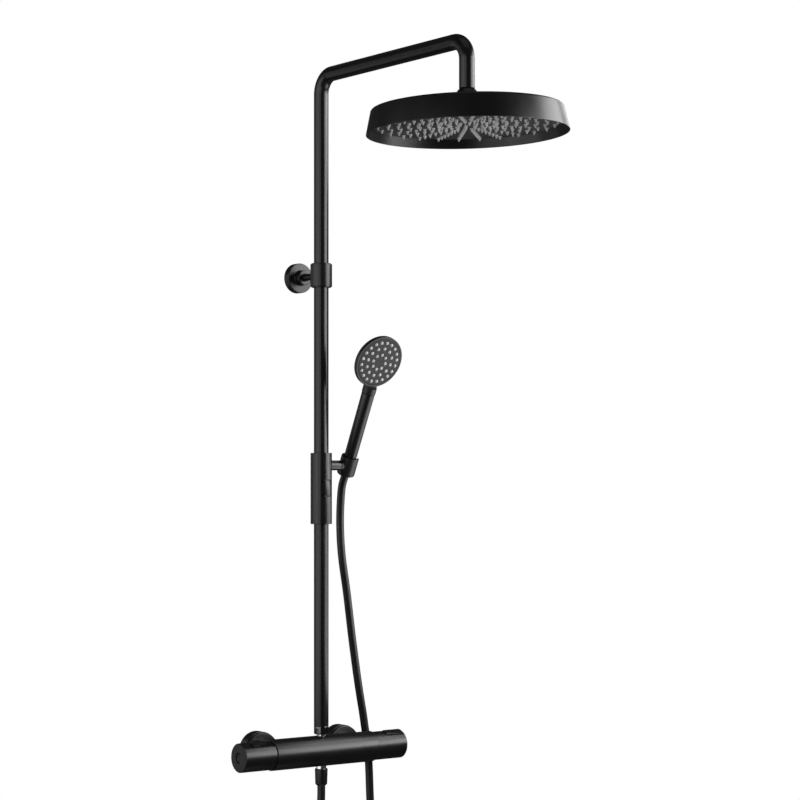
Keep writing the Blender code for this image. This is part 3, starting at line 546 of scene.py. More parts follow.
@dataclass
class NozzleField:
    """Rings of small rubber nozzles that stand on a spray plate and point along -Z."""

    name: str
    rings: Sequence[tuple[float, int]]
    base_radius: float
    tip_radius: float
    height: float
    sides: int = 10
    first_angle: float = 0.0

    def mesh(self) -> bpy.types.Mesh:
        """Grows every ring of nozzles from one nozzle.

        Returns:
            One mesh of all the nozzles, standing on Z = 0.
        """
        recipe = Recipe(self.name)
        base = recipe.size("Base radius", self.base_radius * MM)
        tip = recipe.size("Tip radius", self.tip_radius * MM)
        height = recipe.size("Height", self.height * MM)
        sides = recipe.size("Sides", self.sides, whole=True)
        turn = recipe.size("First angle", self.first_angle)
        skirt_height = recipe.sum("MULTIPLY", height, 0.16)
        skirt = recipe.add(
            "MeshCone",
            Vertices=sides,
            Radius_Bottom=base,
            Radius_Top=recipe.sum("MULTIPLY", base, 0.97),
            Depth=skirt_height,
        )
        stem_base = recipe.sum("MULTIPLY", base, 0.88)
        stem = recipe.add("MeshCone", Vertices=sides, Radius_Bottom=stem_base, Radius_Top=tip, Depth=height)
        one = recipe.add("JoinGeometry")
        for part in (skirt, stem):
            recipe.tree.links.new(part.outputs["Mesh"], one.inputs[0])
        rings = recipe.add("JoinGeometry")
        for index, (radius, count) in enumerate(self.rings):
            size = recipe.size(f"Ring {index + 1} radius", radius * MM)
            number = recipe.size(f"Ring {index + 1} count", count, whole=True)
            circle = recipe.add("MeshCircle", Vertices=number, Radius=size)
            placed = recipe.add(
                "InstanceOnPoints",
                Points=circle.outputs["Mesh"],
                Instance=one.outputs[0],
                Rotation=(math.pi, 0.0, 0.0),
            )
            recipe.tree.links.new(placed.outputs[0], rings.inputs[0])
        angle = recipe.add("ShaderNodeCombineXYZ", Z=turn)
        spun = recipe.add("Transform", Geometry=rings.outputs[0], Rotation=angle.outputs[0])
        return recipe.run(spun.outputs[0], PALE_SILICONE)


# ---------------------------------------------------------------- bar mixer
@dataclass
class MixerBar:
    """The horizontal mixer: body, knobs, stop button, tab, covers and unions."""

    axis_y: float = -66.0
    axis_z: float = -711.0
    body_diameter: float = 46.0
    body_length: float = 184.0
    bore: float = 34.0
    bore_depth: float = 48.0
    water_bore: float = 14.0
    knob_diameter: float = 43.0
    knob_length: float = 54.0
    knob_wall: float = 4.6
    seam: float = 0.4
    flat_chord: float = 17.0
    flat_lean: float = 22.0
    cap_diameter: float = 15.8
    cap_depth: float = 1.5
    slot_width: float = 8.6
    slot_length: float = 34.0
    slot_from_end: float = 14.0
    button_width: float = 7.5
    button_length: float = 9.7
    button_from_end: float = 19.6
    tab_length: float = 31.0
    tab_rise: float = 1.5
    inlet_pitch: float = 150.0
    cover_diameter: float = 58.0
    cover_depth: float = 21.0
    union_diameter: float = 20.0
    union_length: float = 30.0
    spigot_diameter: float = 26.0
    nut_across: float = 34.0
    steps: int = 128

    @property
    def half(self) -> float:
        """Half the body's length."""
        return self.body_length / 2

    @property
    def knob_end(self) -> float:
        """How far a knob's end is from the middle of the bar."""
        return self.half + self.seam + self.knob_length

    @property
    def flat_height(self) -> float:
        """How far a knob's flat is from its axis."""
        return math.sqrt((self.knob_diameter / 2) ** 2 - (self.flat_chord / 2) ** 2)

    def bar_matrix(self, side: int = 1) -> Matrix:
        """Turns Z out along the bar, to the side given."""
        return along(Vector((side, 0, 0)), (0, self.axis_y, self.axis_z))

    def wall_matrix(self, x: float) -> Matrix:
        """Turns Z from the wall towards the room at one inlet."""
        return along(Vector((0, -1, 0)), (x, 0, self.axis_z))

    def flat_matrix(self, side: int, from_middle: float) -> Matrix:
        """A frame on the knob's flat: X along the bar, Z out of the flat."""
        lean = math.radians(self.flat_lean)
        up = Vector((0, -math.sin(lean), math.cos(lean)))
        right = Vector((1, 0, 0))
        turn = Matrix((right, up.cross(right), up)).transposed().to_4x4()
        return Matrix.Translation(Vector((side * from_middle, self.axis_y, self.axis_z)) * MM) @ turn

    def build(self) -> None:
        """Builds every piece of the mixer."""
        self.build_body()
        self.build_knobs()
        self.build_stop_button()
        self.build_tab()
        for word, sign in (("left", -1), ("right", 1)):
            self.build_cover(word, sign * self.inlet_pitch / 2)
            self.build_union_nut(word, sign * self.inlet_pitch / 2)

    def build_body(self) -> None:
        """The bored body with its back spigots and outlets."""
        outer, bore = self.body_diameter / 2, self.bore / 2
        inner = self.half - self.bore_depth
        water = self.water_bore / 2
        corners = [
            (bore, self.half, 0.3),
            (outer, self.half, 0.9),
            (outer, -self.half, 0.9),
            (bore, -self.half, 0.3),
            (bore, -inner, 0.0),
            (water, -inner, 0.5),
            (water, inner, 0.5),
            (bore, inner, 0.0),
        ]
        body = settled(turned(corners, self.steps, True), self.bar_matrix())
        tools = []
        for x in (-self.inlet_pitch / 2, self.inlet_pitch / 2):
            end = self.union_length + 2.3
            spigot = turned([(0, -self.axis_y - 17.6, 0), (13, -self.axis_y - 17.6, 0), (13, end, 0.6), (0, end, 0)], 48)
            tools.append((settled(spigot, self.wall_matrix(x)), "UNION"))
        for x in (-self.inlet_pitch / 2, self.inlet_pitch / 2):
            hole = turned([(0, -self.axis_y - 10, 0), (8, -self.axis_y - 10, 0), (8, 29, 0), (0, 29, 0)], 40)
            tools.append((settled(hole, self.wall_matrix(x)), "DIFFERENCE"))
        centre = along(Vector((0, 0, 1)), (0, self.axis_y, self.axis_z))
        for radius, high, low in ((7.2, 28, -2.2), (7.8, -1.1, -28)):
            hole = turned([(0, high, 0), (radius, high, 0), (radius, low, 0), (0, low, 0)], 44)
            tools.append((settled(hole, centre), "DIFFERENCE"))
        piece("mixer_bar", carved(body, *tools), BLACK_PAINT, Body.COLUMN, ["mixer_body"])

    def knob_mesh(self) -> bpy.types.Mesh:
        """A hollow knob turned about Z, its outer end up."""
        outer = self.knob_diameter / 2
        bore = outer - self.knob_wall
        start = self.half + self.seam
        end = self.knob_end
        recess = self.cap_diameter / 2 + 0.1
        floor = end - self.cap_depth - 1.4
        corners = [
            (recess, end, 0.5),
            (outer - 0.9, end, 0.3),
            (outer, end - 0.9, 0.4),
            (outer, start, 0.5),
            (bore, start, 0.3),
            (bore, end - 5, 1.0),
            (8.2, end - 5, 0.0),
            (8.2, self.half + 21, 0.3),
            (5.3, self.half + 21, 0.3),
            (5.3, floor - 3, 0.0),
            (2.4, floor - 3, 0.0),
            (2.4, floor, 0.0),
            (recess, floor, 0.0),
        ]
        return turned(corners, self.steps, True, 7)

    def cap_mesh(self) -> bpy.types.Mesh:
        """The dished disc in a knob's end."""
        top = self.knob_end - self.cap_depth
        radius = self.cap_diameter / 2 - 0.3
        corners = [(0, top - 0.9, 0), (radius - 3, top - 0.5, 3.0), (radius, top, 0.3), (radius, top - 1.1, 0), (0, top - 1.1, 0)]
        return turned(corners, 72)

    def build_knobs(self) -> None:
        """Both knobs and their end caps."""
        height = self.flat_height
        left = settled(self.knob_mesh(), self.bar_matrix(-1))
        middle = self.half + self.knob_length / 2
        flat = settled(slab(box_outline(self.knob_length + 12, 40), height, height + 9), self.flat_matrix(-1, middle))
        slot_middle = self.knob_end - self.slot_from_end - self.slot_length / 2
        slot = slab(box_outline(self.slot_length, self.slot_width, 1.2), height - 1.2, height + 4)
        button_middle = self.knob_end - self.button_from_end - self.button_length / 2
        hole = slab(box_outline(self.button_length + 0.9, self.button_width + 0.9, 0.8), 10, height + 5)
        left = carved(
            left,
            (flat, "DIFFERENCE"),
            (settled(slot, self.flat_matrix(-1, slot_middle)), "DIFFERENCE"),
            (settled(hole, self.flat_matrix(-1, button_middle)), "DIFFERENCE"),
        )
        piece("temperature_knob_shell", left, BLACK_PAINT, Body.TEMPERATURE, ["temperature_handle"])
        cap = settled(self.cap_mesh(), self.bar_matrix(-1))
        piece("temperature_knob_cap", cap, BLACK_PLASTIC, Body.TEMPERATURE, ["temperature_end_cap"])

        right = settled(self.knob_mesh(), self.bar_matrix(1))
        pad_middle = self.knob_end - 3 - self.tab_length / 2
        seat = slab(box_outline(self.tab_length + 0.9, self.flat_chord - 3 + 0.9, 2.0), height - 1.6, height + 9)
        right = carved(right, (settled(seat, self.flat_matrix(1, pad_middle)), "DIFFERENCE"))
        piece("flow_knob_shell", right, BLACK_PAINT, Body.FLOW, ["flow_handle"])
        cap = settled(self.cap_mesh(), self.bar_matrix(1))
        piece("flow_knob_cap", cap, BLACK_PLASTIC, Body.FLOW, ["flow_end_cap"])

    def build_stop_button(self) -> None:
        """The small ribbed stop button on the temperature knob."""
        height = self.flat_height
        middle = self.knob_end - self.button_from_end - self.button_length / 2
        block = soft_edged(slab(box_outline(self.button_length, self.button_width, 0.9), height - 2.6, height + 1.1), 0.35)
        ribs = []
        for place in (-2.4, 0.0, 2.4):
            rib = slab(box_outline(0.7, self.button_width + 2), height + 0.75, height + 2)
            rib.transform(Matrix.Translation((place * MM, 0, 0)))
            ribs.append((rib, "DIFFERENCE"))
        block = settled(carved(block, *ribs), self.flat_matrix(-1, middle))
        piece("stop_button", block, BLACK_PLASTIC, Body.STOP, ["temperature_stop_button"])

    def build_tab(self) -> None:
        """The raised pad on the flow knob."""
        height = self.flat_height
        middle = self.knob_end - 3 - self.tab_length / 2
        block = slab(box_outline(self.tab_length, self.flat_chord - 3, 1.6), height - 1.3, height + 4.2)
        block = settled(block, self.flat_matrix(1, middle))
        drum = turned([(0, 200, 0), (self.knob_diameter / 2 + self.tab_rise, 200, 0)] + [(self.knob_diameter / 2 + self.tab_rise, 60, 0), (0, 60, 0)], 192)
        block = carved(block, (settled(drum, self.bar_matrix(1)), "INTERSECT"))
        piece("flow_pad", soft_edged(block, 0.5), BLACK_PAINT, Body.FLOW, ["flow_tab"])

    def build_cover(self, word: str, x: float) -> None:
        """The domed wall cover round one inlet.

        Args:
            word: left or right.
            x: Where the inlet is along the wall.
        """
        rim, depth = self.cover_diameter / 2, self.cover_depth
        neck = self.union_diameter / 2 + 0.3
        corners = [
            (neck, depth, 0.5),
            (rim - 1.1, depth, 1.6),
            (rim - 0.5, depth - 3.4, 0.2),
            (rim - 1.3, depth - 3.6, 0.1),
            (rim - 1.3, depth - 4.3, 0.1),
            (rim, depth - 4.6, 0.3),
            (rim, 0, 0.4),
            (rim - 1.6, 0, 0.3),
            (rim - 2.8, depth - 1.8, 1.0),
            (neck, depth - 1.8, 0.0),
        ]
        cover = settled(turned(corners, 120, True, 9), self.wall_matrix(x))
        piece(f"wall_cover_{word}", cover, BLACK_PAINT, Body.COLUMN, [f"rosette_{word}"])

    def build_union_nut(self, word: str, x: float) -> None:
        """The hexagon nut between the wall union and the bar.

        Args:
            word: left or right.
            x: Where the inlet is along the wall.
        """
        low = self.union_length - 5.8
        radius = self.nut_across / 2 / math.cos(math.pi / 6)
        outline = [(radius * math.cos(FULL_TURN * i / 6), radius * math.sin(FULL_TURN * i / 6)) for i in range(6)]
        nut = slab(outline, low, low + 17.5)
        dome = turned([(0, low + 17.5, 0), (radius - 1.6, low + 17.5, 0), (radius + 1.0, low + 15.2, 0), (radius + 1.0, low + 2.3, 0), (radius - 1.6, low, 0), (0, low, 0)], 96)
        wide, narrow = self.spigot_diameter / 2 + 0.3, self.union_diameter / 2 + 0.3
        step = self.union_length - 2.9
        bore = turned([(0, low + 20, 0), (wide, low + 20, 0), (wide, step, 0), (narrow, step, 0), (narrow, low - 2, 0), (0, low - 2, 0)], 64)
        nut = carved(nut, (dome, "INTERSECT"), (bore, "DIFFERENCE"))
        piece(f"inlet_nut_{word}", settled(nut, self.wall_matrix(x)), BLACK_PAINT, Body.COLUMN, [f"union_nut_{word}"])


# ------------------------------------------------------- riser, arm, bracket
@dataclass
class Riser:
    """The upright tube, its lock ring, the outlet below the bar and the swan-neck arm."""

    tube_diameter: float = 22.0
    tube_wall: float = 1.2
    axis_y: float = -66.0
    foot_z: float = -673.6
    gap: float = 0.3
    ring_height: float = 12.4
    neck_diameter: float = 13.8
    arm_z: float = 298.0
    arm_reach: float = 348.0
    bend_radius: float = 28.0
    drop_end_z: float = 230.5
    outlet_neck: float = 15.0
    nut_top_z: float = -737.7
    nut_height: float = 24.7
    nut_diameter: float = 19.3
    bar_foot_z: float = -734.0

    def upright(self) -> Matrix:
        """The riser's own frame."""
        return along(Vector((0, 0, 1)), (0, self.axis_y, 0))

    def build(self) -> None:
        """Builds the tubes and their fittings."""
        outer = self.tube_diameter / 2
        bore = outer - self.tube_wall
        tube = turned([(outer, -self.gap, 0.25), (outer, self.foot_z, 0.25), (bore, self.foot_z, 0.15), (bore, -self.gap, 0.15)], 128, True)
        piece("riser_tube", settled(tube, self.upright()), BLACK_TUBE, Body.COLUMN, ["lower_riser"])
        self.build_lock_ring()
        self.build_outlet()
        self.build_arm()

    def build_lock_ring(self) -> None:
        """The bright notched ring at the riser's foot and the neck below it."""
        outer, neck = self.tube_diameter / 2, self.neck_diameter / 2
        top, low = self.foot_z - self.gap, self.foot_z - self.ring_height
        corners = [
            (neck + self.gap, top, 0.2),
            (outer, top, 0.9),
            (outer, low, 1.8),
            (neck + self.gap, low, 0.3),
        ]
        ring = turned(corners, 128, True, 6)
        tools = []
        for index in range(4):
            angle = math.radians(20 + 90 * index)
            notch = turned([(0, top - 3.2, 0), (2.6, top - 3.2, 1.0), (2.6, low - 2, 0), (0, low - 2, 0)], 32)
            notch.transform(Matrix.Translation(((outer + 1) * math.cos(angle) * MM, (outer + 1) * math.sin(angle) * MM, 0)))
            tools.append((notch, "DIFFERENCE"))
        piece("lock_ring", settled(carved(ring, *tools), self.upright()), DARK_CHROME, Body.COLUMN, ["riser_lock_ring"])
        wide = outer - self.tube_wall - self.gap
        foot = self.bar_foot_z + 33
        corners = [
            (4.8, self.foot_z + 12, 0.3),
            (wide, self.foot_z + 12, 0.4),
            (wide, self.foot_z + 0.4, 0.2),
            (neck, self.foot_z + 0.4, 0.0),
            (neck, foot, 0.3),
            (4.8, foot, 0.3),
        ]
        piece("riser_neck", settled(turned(corners, 96, True), self.upright()), CHROME, Body.COLUMN, ["riser_nipple"])

    def build_outlet(self) -> None:
        """The bright neck and the hose nut under the bar."""
        neck = self.outlet_neck / 2
        foot = self.nut_top_z - 7
        corners = [(neck, self.bar_foot_z + 12, 0.2), (neck, foot, 0.3), (4.4, foot, 0.3), (4.4, self.bar_foot_z + 12, 0.2)]
        piece("outlet_neck", settled(turned(corners, 96, True), self.upright()), CHROME, Body.COLUMN, ["outlet_nipple"])
        outer, low = self.nut_diameter / 2, self.nut_top_z - self.nut_height
        corners = [
            (neck + self.gap, self.nut_top_z, 0.2),
            (outer, self.nut_top_z, 0.6),
            (outer - 0.7, low + 2, 1.2),
            (outer - 2.4, low, 0.4),
            (4.2, low, 0.3),
            (4.2, foot - 2.2, 0.0),
            (neck + self.gap, foot - 2.2, 0.0),
        ]
        nut = turned(corners, 96, True)
        piece("hose_nut_low", settled(nut, self.upright()), BLACK_PAINT, Body.COLUMN, ["hose_nut_lower"])

    def build_arm(self) -> None:
        """The swan-neck tube: a bent line given a round wall."""
        line = bpy.data.meshes.new("arm_line")
        reach = -self.arm_reach * MM
        stops = [(0, 0, self.gap), (0, 0, self.arm_z), (0, reach / MM, self.arm_z), (0, reach / MM, self.drop_end_z)]
        line.from_pydata([tuple(c * MM for c in stop) for stop in stops], [(0, 1), (1, 2), (2, 3)], [])
        recipe = Recipe("swan_neck")
        radius = recipe.size("Tube radius", self.tube_diameter / 2 * MM)
        wall = recipe.size("Wall", self.tube_wall * MM)
        bend = recipe.size("Bend radius", self.bend_radius * MM)
        curve = recipe.add("MeshToCurve", Mesh=recipe.start.outputs["Geometry"])
        rounded = recipe.add("FilletCurve", {"mode": "POLY"}, Curve=curve.outputs[0], Count=28, Radius=bend)
        outer = recipe.add("CurvePrimitiveCircle", Resolution=96, Radius=radius)
        skin = recipe.add("CurveToMesh", Curve=rounded.outputs[0], Profile_Curve=outer.outputs[0], Fill_Caps=True)
        inner = recipe.add("CurvePrimitiveCircle", Resolution=96, Radius=recipe.sum("SUBTRACT", radius, wall))
        core = recipe.add("CurveToMesh", Curve=rounded.outputs[0], Profile_Curve=inner.outputs[0], Fill_Caps=True)
        hollow = recipe.add("MeshBoolean", {"operation": "DIFFERENCE", "solver": "EXACT"})
        longer = recipe.add("ScaleElements", {"domain": "FACE"}, Geometry=core.outputs[0], Scale=1.0)
        recipe.tree.links.new(skin.outputs[0], hollow.inputs[0])
        recipe.tree.links.new(longer.outputs[0], hollow.inputs[1])
        mesh = recipe.run(skin.outputs[0], BLACK_TUBE, line)
        place = Matrix.Translation((0, self.axis_y * MM, 0))
        piece("arm_tube", settled(mesh, place), BLACK_TUBE, Body.ARM, ["gooseneck"])


@dataclass
class WallBracket:
    """The upper bracket: collar on the riser, spindle, domed cover and base on the wall."""

    axis_y: float = -66.0
    collar_diameter: float = 32.5
    collar_height: float = 36.0
    bore: float = 22.5
    flange_diameter: float = 45.0
    flange_depth: float = 11.5
    base_depth: float = 4.6
    boss_diameter: float = 22.5
    boss_length: float = 11.8
    spindle_diameter: float = 11.0
    spindle_tip: float = 8.0
    screw_pitch: float = 24.0

    def build(self) -> None:
        """Builds the bracket's visible pieces."""
        half, outer, bore = self.collar_height / 2, self.collar_diameter / 2, self.bore / 2
        corners = [
            (bore, half, 0.2),
            (outer - 1.5, half, 0.4),
            (outer - 1.5, half - 1.1, 0.1),
            (outer - 0.9, half - 1.1, 0.1),
            (outer, half - 1.4, 0.4),
            (outer, 1.4 - half, 0.4),
            (outer - 0.9, 1.1 - half, 0.1),
            (outer - 1.5, 1.1 - half, 0.1),
            (outer - 1.5, -half, 0.4),
            (bore, -half, 0.2),
        ]
        collar = settled(turned(corners, 128, True), along(Vector((0, 0, 1)), (0, self.axis_y, 0)))
        tools = []
        for radius, height in ((3.3, 0.0), (2.0, 10.5)):
            hole = turned([(0, 30, 0), (radius, 30, 0), (radius, 6, 0), (0, 6, 0)], 32)
            tools.append((settled(hole, along(Vector((0, 1, 0)), (0, self.axis_y, height))), "DIFFERENCE"))
        piece("bracket_ring", carved(collar, *tools), BLACK_PAINT, Body.COLUMN, ["bracket_collar"])
        self.build_spindle()
        self.build_flange()

    def build_spindle(self) -> None:
        """The tapered spindle between the flange and the collar."""
        back = -(self.axis_y + self.collar_diameter / 2)
        face = self.flange_depth + self.boss_length
        corners = [
            (0, -(self.axis_y + self.bore / 2) - 0.4, 0),
            (3, -(self.axis_y + self.bore / 2) - 0.4, 0.2),
            (3, back - 0.35, 0),
            (self.spindle_tip / 2, back - 0.35, 0.3),
            (self.spindle_diameter / 2, face + 4, 6.0),
            (self.spindle_diameter / 2, self.base_depth + 1.0, 0.3),
            (0, self.base_depth + 1.0, 0),
        ]
        spindle = settled(turned(corners, 72), along(Vector((0, -1, 0)), (0, 0, 0)))
        piece("bracket_rod", spindle, BLACK_PAINT, Body.COLUMN, ["bracket_spindle"])

    def build_flange(self) -> None:
        """The stepped cover and the base with its two screw holes."""
        rim, boss = self.flange_diameter / 2, self.boss_diameter / 2
        face = self.flange_depth + self.boss_length
        bore = self.spindle_diameter / 2 + 0.3
        corners = [
            (bore, face, 0.4),
            (boss, face, 1.0),
            (boss, self.flange_depth, 1.2),
            (rim, self.flange_depth, 1.2),
            (rim, self.base_depth + 0.3, 0.4),
            (bore, self.base_depth + 0.3, 0.2),
        ]
        out = along(Vector((0, -1, 0)), (0, 0, 0))
        piece("bracket_flange", settled(turned(corners, 120, True), out), BLACK_PAINT, Body.COLUMN, ["bracket_cover"])
        base = settled(turned([(0, self.base_depth, 0), (rim, self.base_depth, 0.5), (rim, 0, 0.3), (0, 0, 0)], 120), out)
        tools = []
        for sign in (-1, 1):
            hole = turned([(0, 7, 0), (4.3, 7, 0), (4.3, self.base_depth - 1.4, 0), (2.3, 1.0, 0), (2.3, -2, 0), (0, -2, 0)], 32)
            tools.append((settled(hole, along(Vector((0, -1, 0)), (sign * self.screw_pitch / 2, 0, 0))), "DIFFERENCE"))
        piece("bracket_plate", carved(base, *tools), BLACK_PAINT, Body.COLUMN, ["bracket_base"])


# ------------------------------------------------------------------- slider
@dataclass
class Slider:
    """The sleeve on the riser, its button and the tilting holder cup."""

    axis_y: float = -66.0
    sleeve_diameter: float = 32.0
    sleeve_top: float = -265.5
    sleeve_height: float = 106.3
    bore: float = 25.2
    mouth: float = 22.8
    button_width: float = 15.0
    button_height: float = 23.0
    button_corner: float = 4.5
    button_z: float = -318.0
    groove: float = 1.2
    cup_x: float = 49.0
    cup_z: float = -284.0
    cup_diameter: float = 27.0
    cup_height: float = 30.0
    cup_lean: float = 26.0
    cup_top_bore: float = 20.8
    cup_low_bore: float = 17.6
    cup_slot: float = 13.0
    pin_diameter: float = 15.0
    pin_seam: float = 32.7
    bolt: float = 7.0

    @property
    def cup_axis(self) -> Vector:
        """The direction in which the cup's mouth faces."""
        lean = math.radians(self.cup_lean)
        return Vector((0, -math.sin(lean), math.cos(lean)))

    def build(self) -> None:
        """Builds the sleeve, the button and the cup."""
        self.build_sleeve()
        self.build_button()
        self.build_cup()

    def button_tool(self, grow: float, low: float, high: float) -> bpy.types.Mesh:
        """The button's outline pushed towards the room.

        Args:
            grow: How much wider than the button it is on each side.
            low: Where it starts from the riser's axis.
            high: Where it ends.

        Returns:
            The mesh, in place.
        """
        outline = box_outline(self.button_width + 2 * grow, self.button_height + 2 * grow, self.button_corner + grow, 8)
        return settled(slab(outline, low, high), along(Vector((0, -1, 0)), (0, self.axis_y, self.button_z)))

    def build_sleeve(self) -> None:
        """The sleeve with its pin boss and button hole."""
        outer, bore, mouth = self.sleeve_diameter / 2, self.bore / 2, self.mouth / 2
        top, foot = self.sleeve_top, self.sleeve_top - self.sleeve_height
        corners = [
            (mouth, top, 0.3),
            (outer, top, 0.6),
            (outer, foot, 0.6),
            (bore, foot, 0.3),
            (bore, top - 2, 0.0),
            (mouth, top - 2, 0.0),
        ]
        sleeve = settled(turned(corners, 144, True), along(Vector((0, 0, 1)), (0, self.axis_y, 0)))
        across = along(Vector((1, 0, 0)), (0, self.axis_y, self.cup_z))
        radius = self.pin_diameter / 2
        pin = turned([(0, self.pin_seam, 0), (radius, self.pin_seam, 0.4), (radius, 13.5, 0), (0, 13.5, 0)], 72)
        hole = turned([(0, 40, 0), (self.bolt / 2, 40, 0), (self.bolt / 2, self.pin_seam - 12, 0), (0, self.pin_seam - 12, 0)], 32)
        sleeve = carved(
            sleeve,
            (settled(pin, across), "UNION"),
            (settled(hole, across), "DIFFERENCE"),
            (self.button_tool(self.groove, 9, 24), "DIFFERENCE"),
        )
        piece("slider_tube", sleeve, BLACK_TUBE, Body.SLIDER, ["slider_sleeve"])

    def build_button(self) -> None:
        """The push button, rounded like the sleeve around it."""
        drum = turned([(0, -200, 0), (self.sleeve_diameter / 2 - 0.05, -200, 0), (self.sleeve_diameter / 2 - 0.05, -420, 0), (0, -420, 0)], 288)
        drum = settled(drum, along(Vector((0, 0, 1)), (0, self.axis_y, 0)))
        block = carved(self.button_tool(0, self.bore / 2 + 0.3, 20), (drum, "INTERSECT"))
        piece("slider_push", soft_edged(block, 0.8, 4, 45), BLACK_TUBE, Body.BUTTON, ["slider_button"])

    def build_cup(self) -> None:
        """The conical cup with its hub and the slot for the hose."""
        outer, half = self.cup_diameter / 2, self.cup_height / 2
        centre = (self.cup_x, self.axis_y, self.cup_z)
        out = along(self.cup_axis, centre)
        cup = turned([(0, half, 0), (outer, half, 0.7), (outer, -half, 3.0), (0, -half, 0)], 128, False, 8)
        across = along(Vector((1, 0, 0)), (0, self.axis_y, self.cup_z))
        radius = self.pin_diameter / 2
        inside = self.cup_x - self.cup_top_bore / 2 - 0.5
        hub = turned([(0, inside, 0), (radius, inside, 0), (radius, self.pin_seam + 0.4, 0.4), (0, self.pin_seam + 0.4, 0)], 72)
        slope = (self.cup_top_bore - self.cup_low_bore) / 2 / self.cup_height
        wide, narrow = self.cup_top_bore / 2 + 3 * slope, self.cup_low_bore / 2 - 3 * slope
        seat = turned([(0, half + 3, 0), (wide, half + 3, 0), (narrow, -half - 3, 0), (0, -half - 3, 0)], 96)
        hole = turned([(0, self.cup_x, 0), (self.bolt / 2, self.cup_x, 0), (self.bolt / 2, 25, 0), (0, 25, 0)], 32)
        slot = slab([(20, self.cup_slot / 2), (0, self.cup_slot / 2), (0, -self.cup_slot / 2), (20, -self.cup_slot / 2)], -half - 4, half + 4)
        right = Vector((1, 0, 0))
        turn = Matrix((right, self.cup_axis.cross(right), self.cup_axis)).transposed().to_4x4()
        cup = carved(
            settled(cup, out),
            (settled(hub, across), "UNION"),
            (settled(seat, out), "DIFFERENCE"),
            (settled(hole, across), "DIFFERENCE"),
            (settled(slot, Matrix.Translation(Vector(centre) * MM) @ turn), "DIFFERENCE"),
        )
        piece("holder_socket", cup, BLACK_PLASTIC, Body.HOLDER, ["holder_cup"])


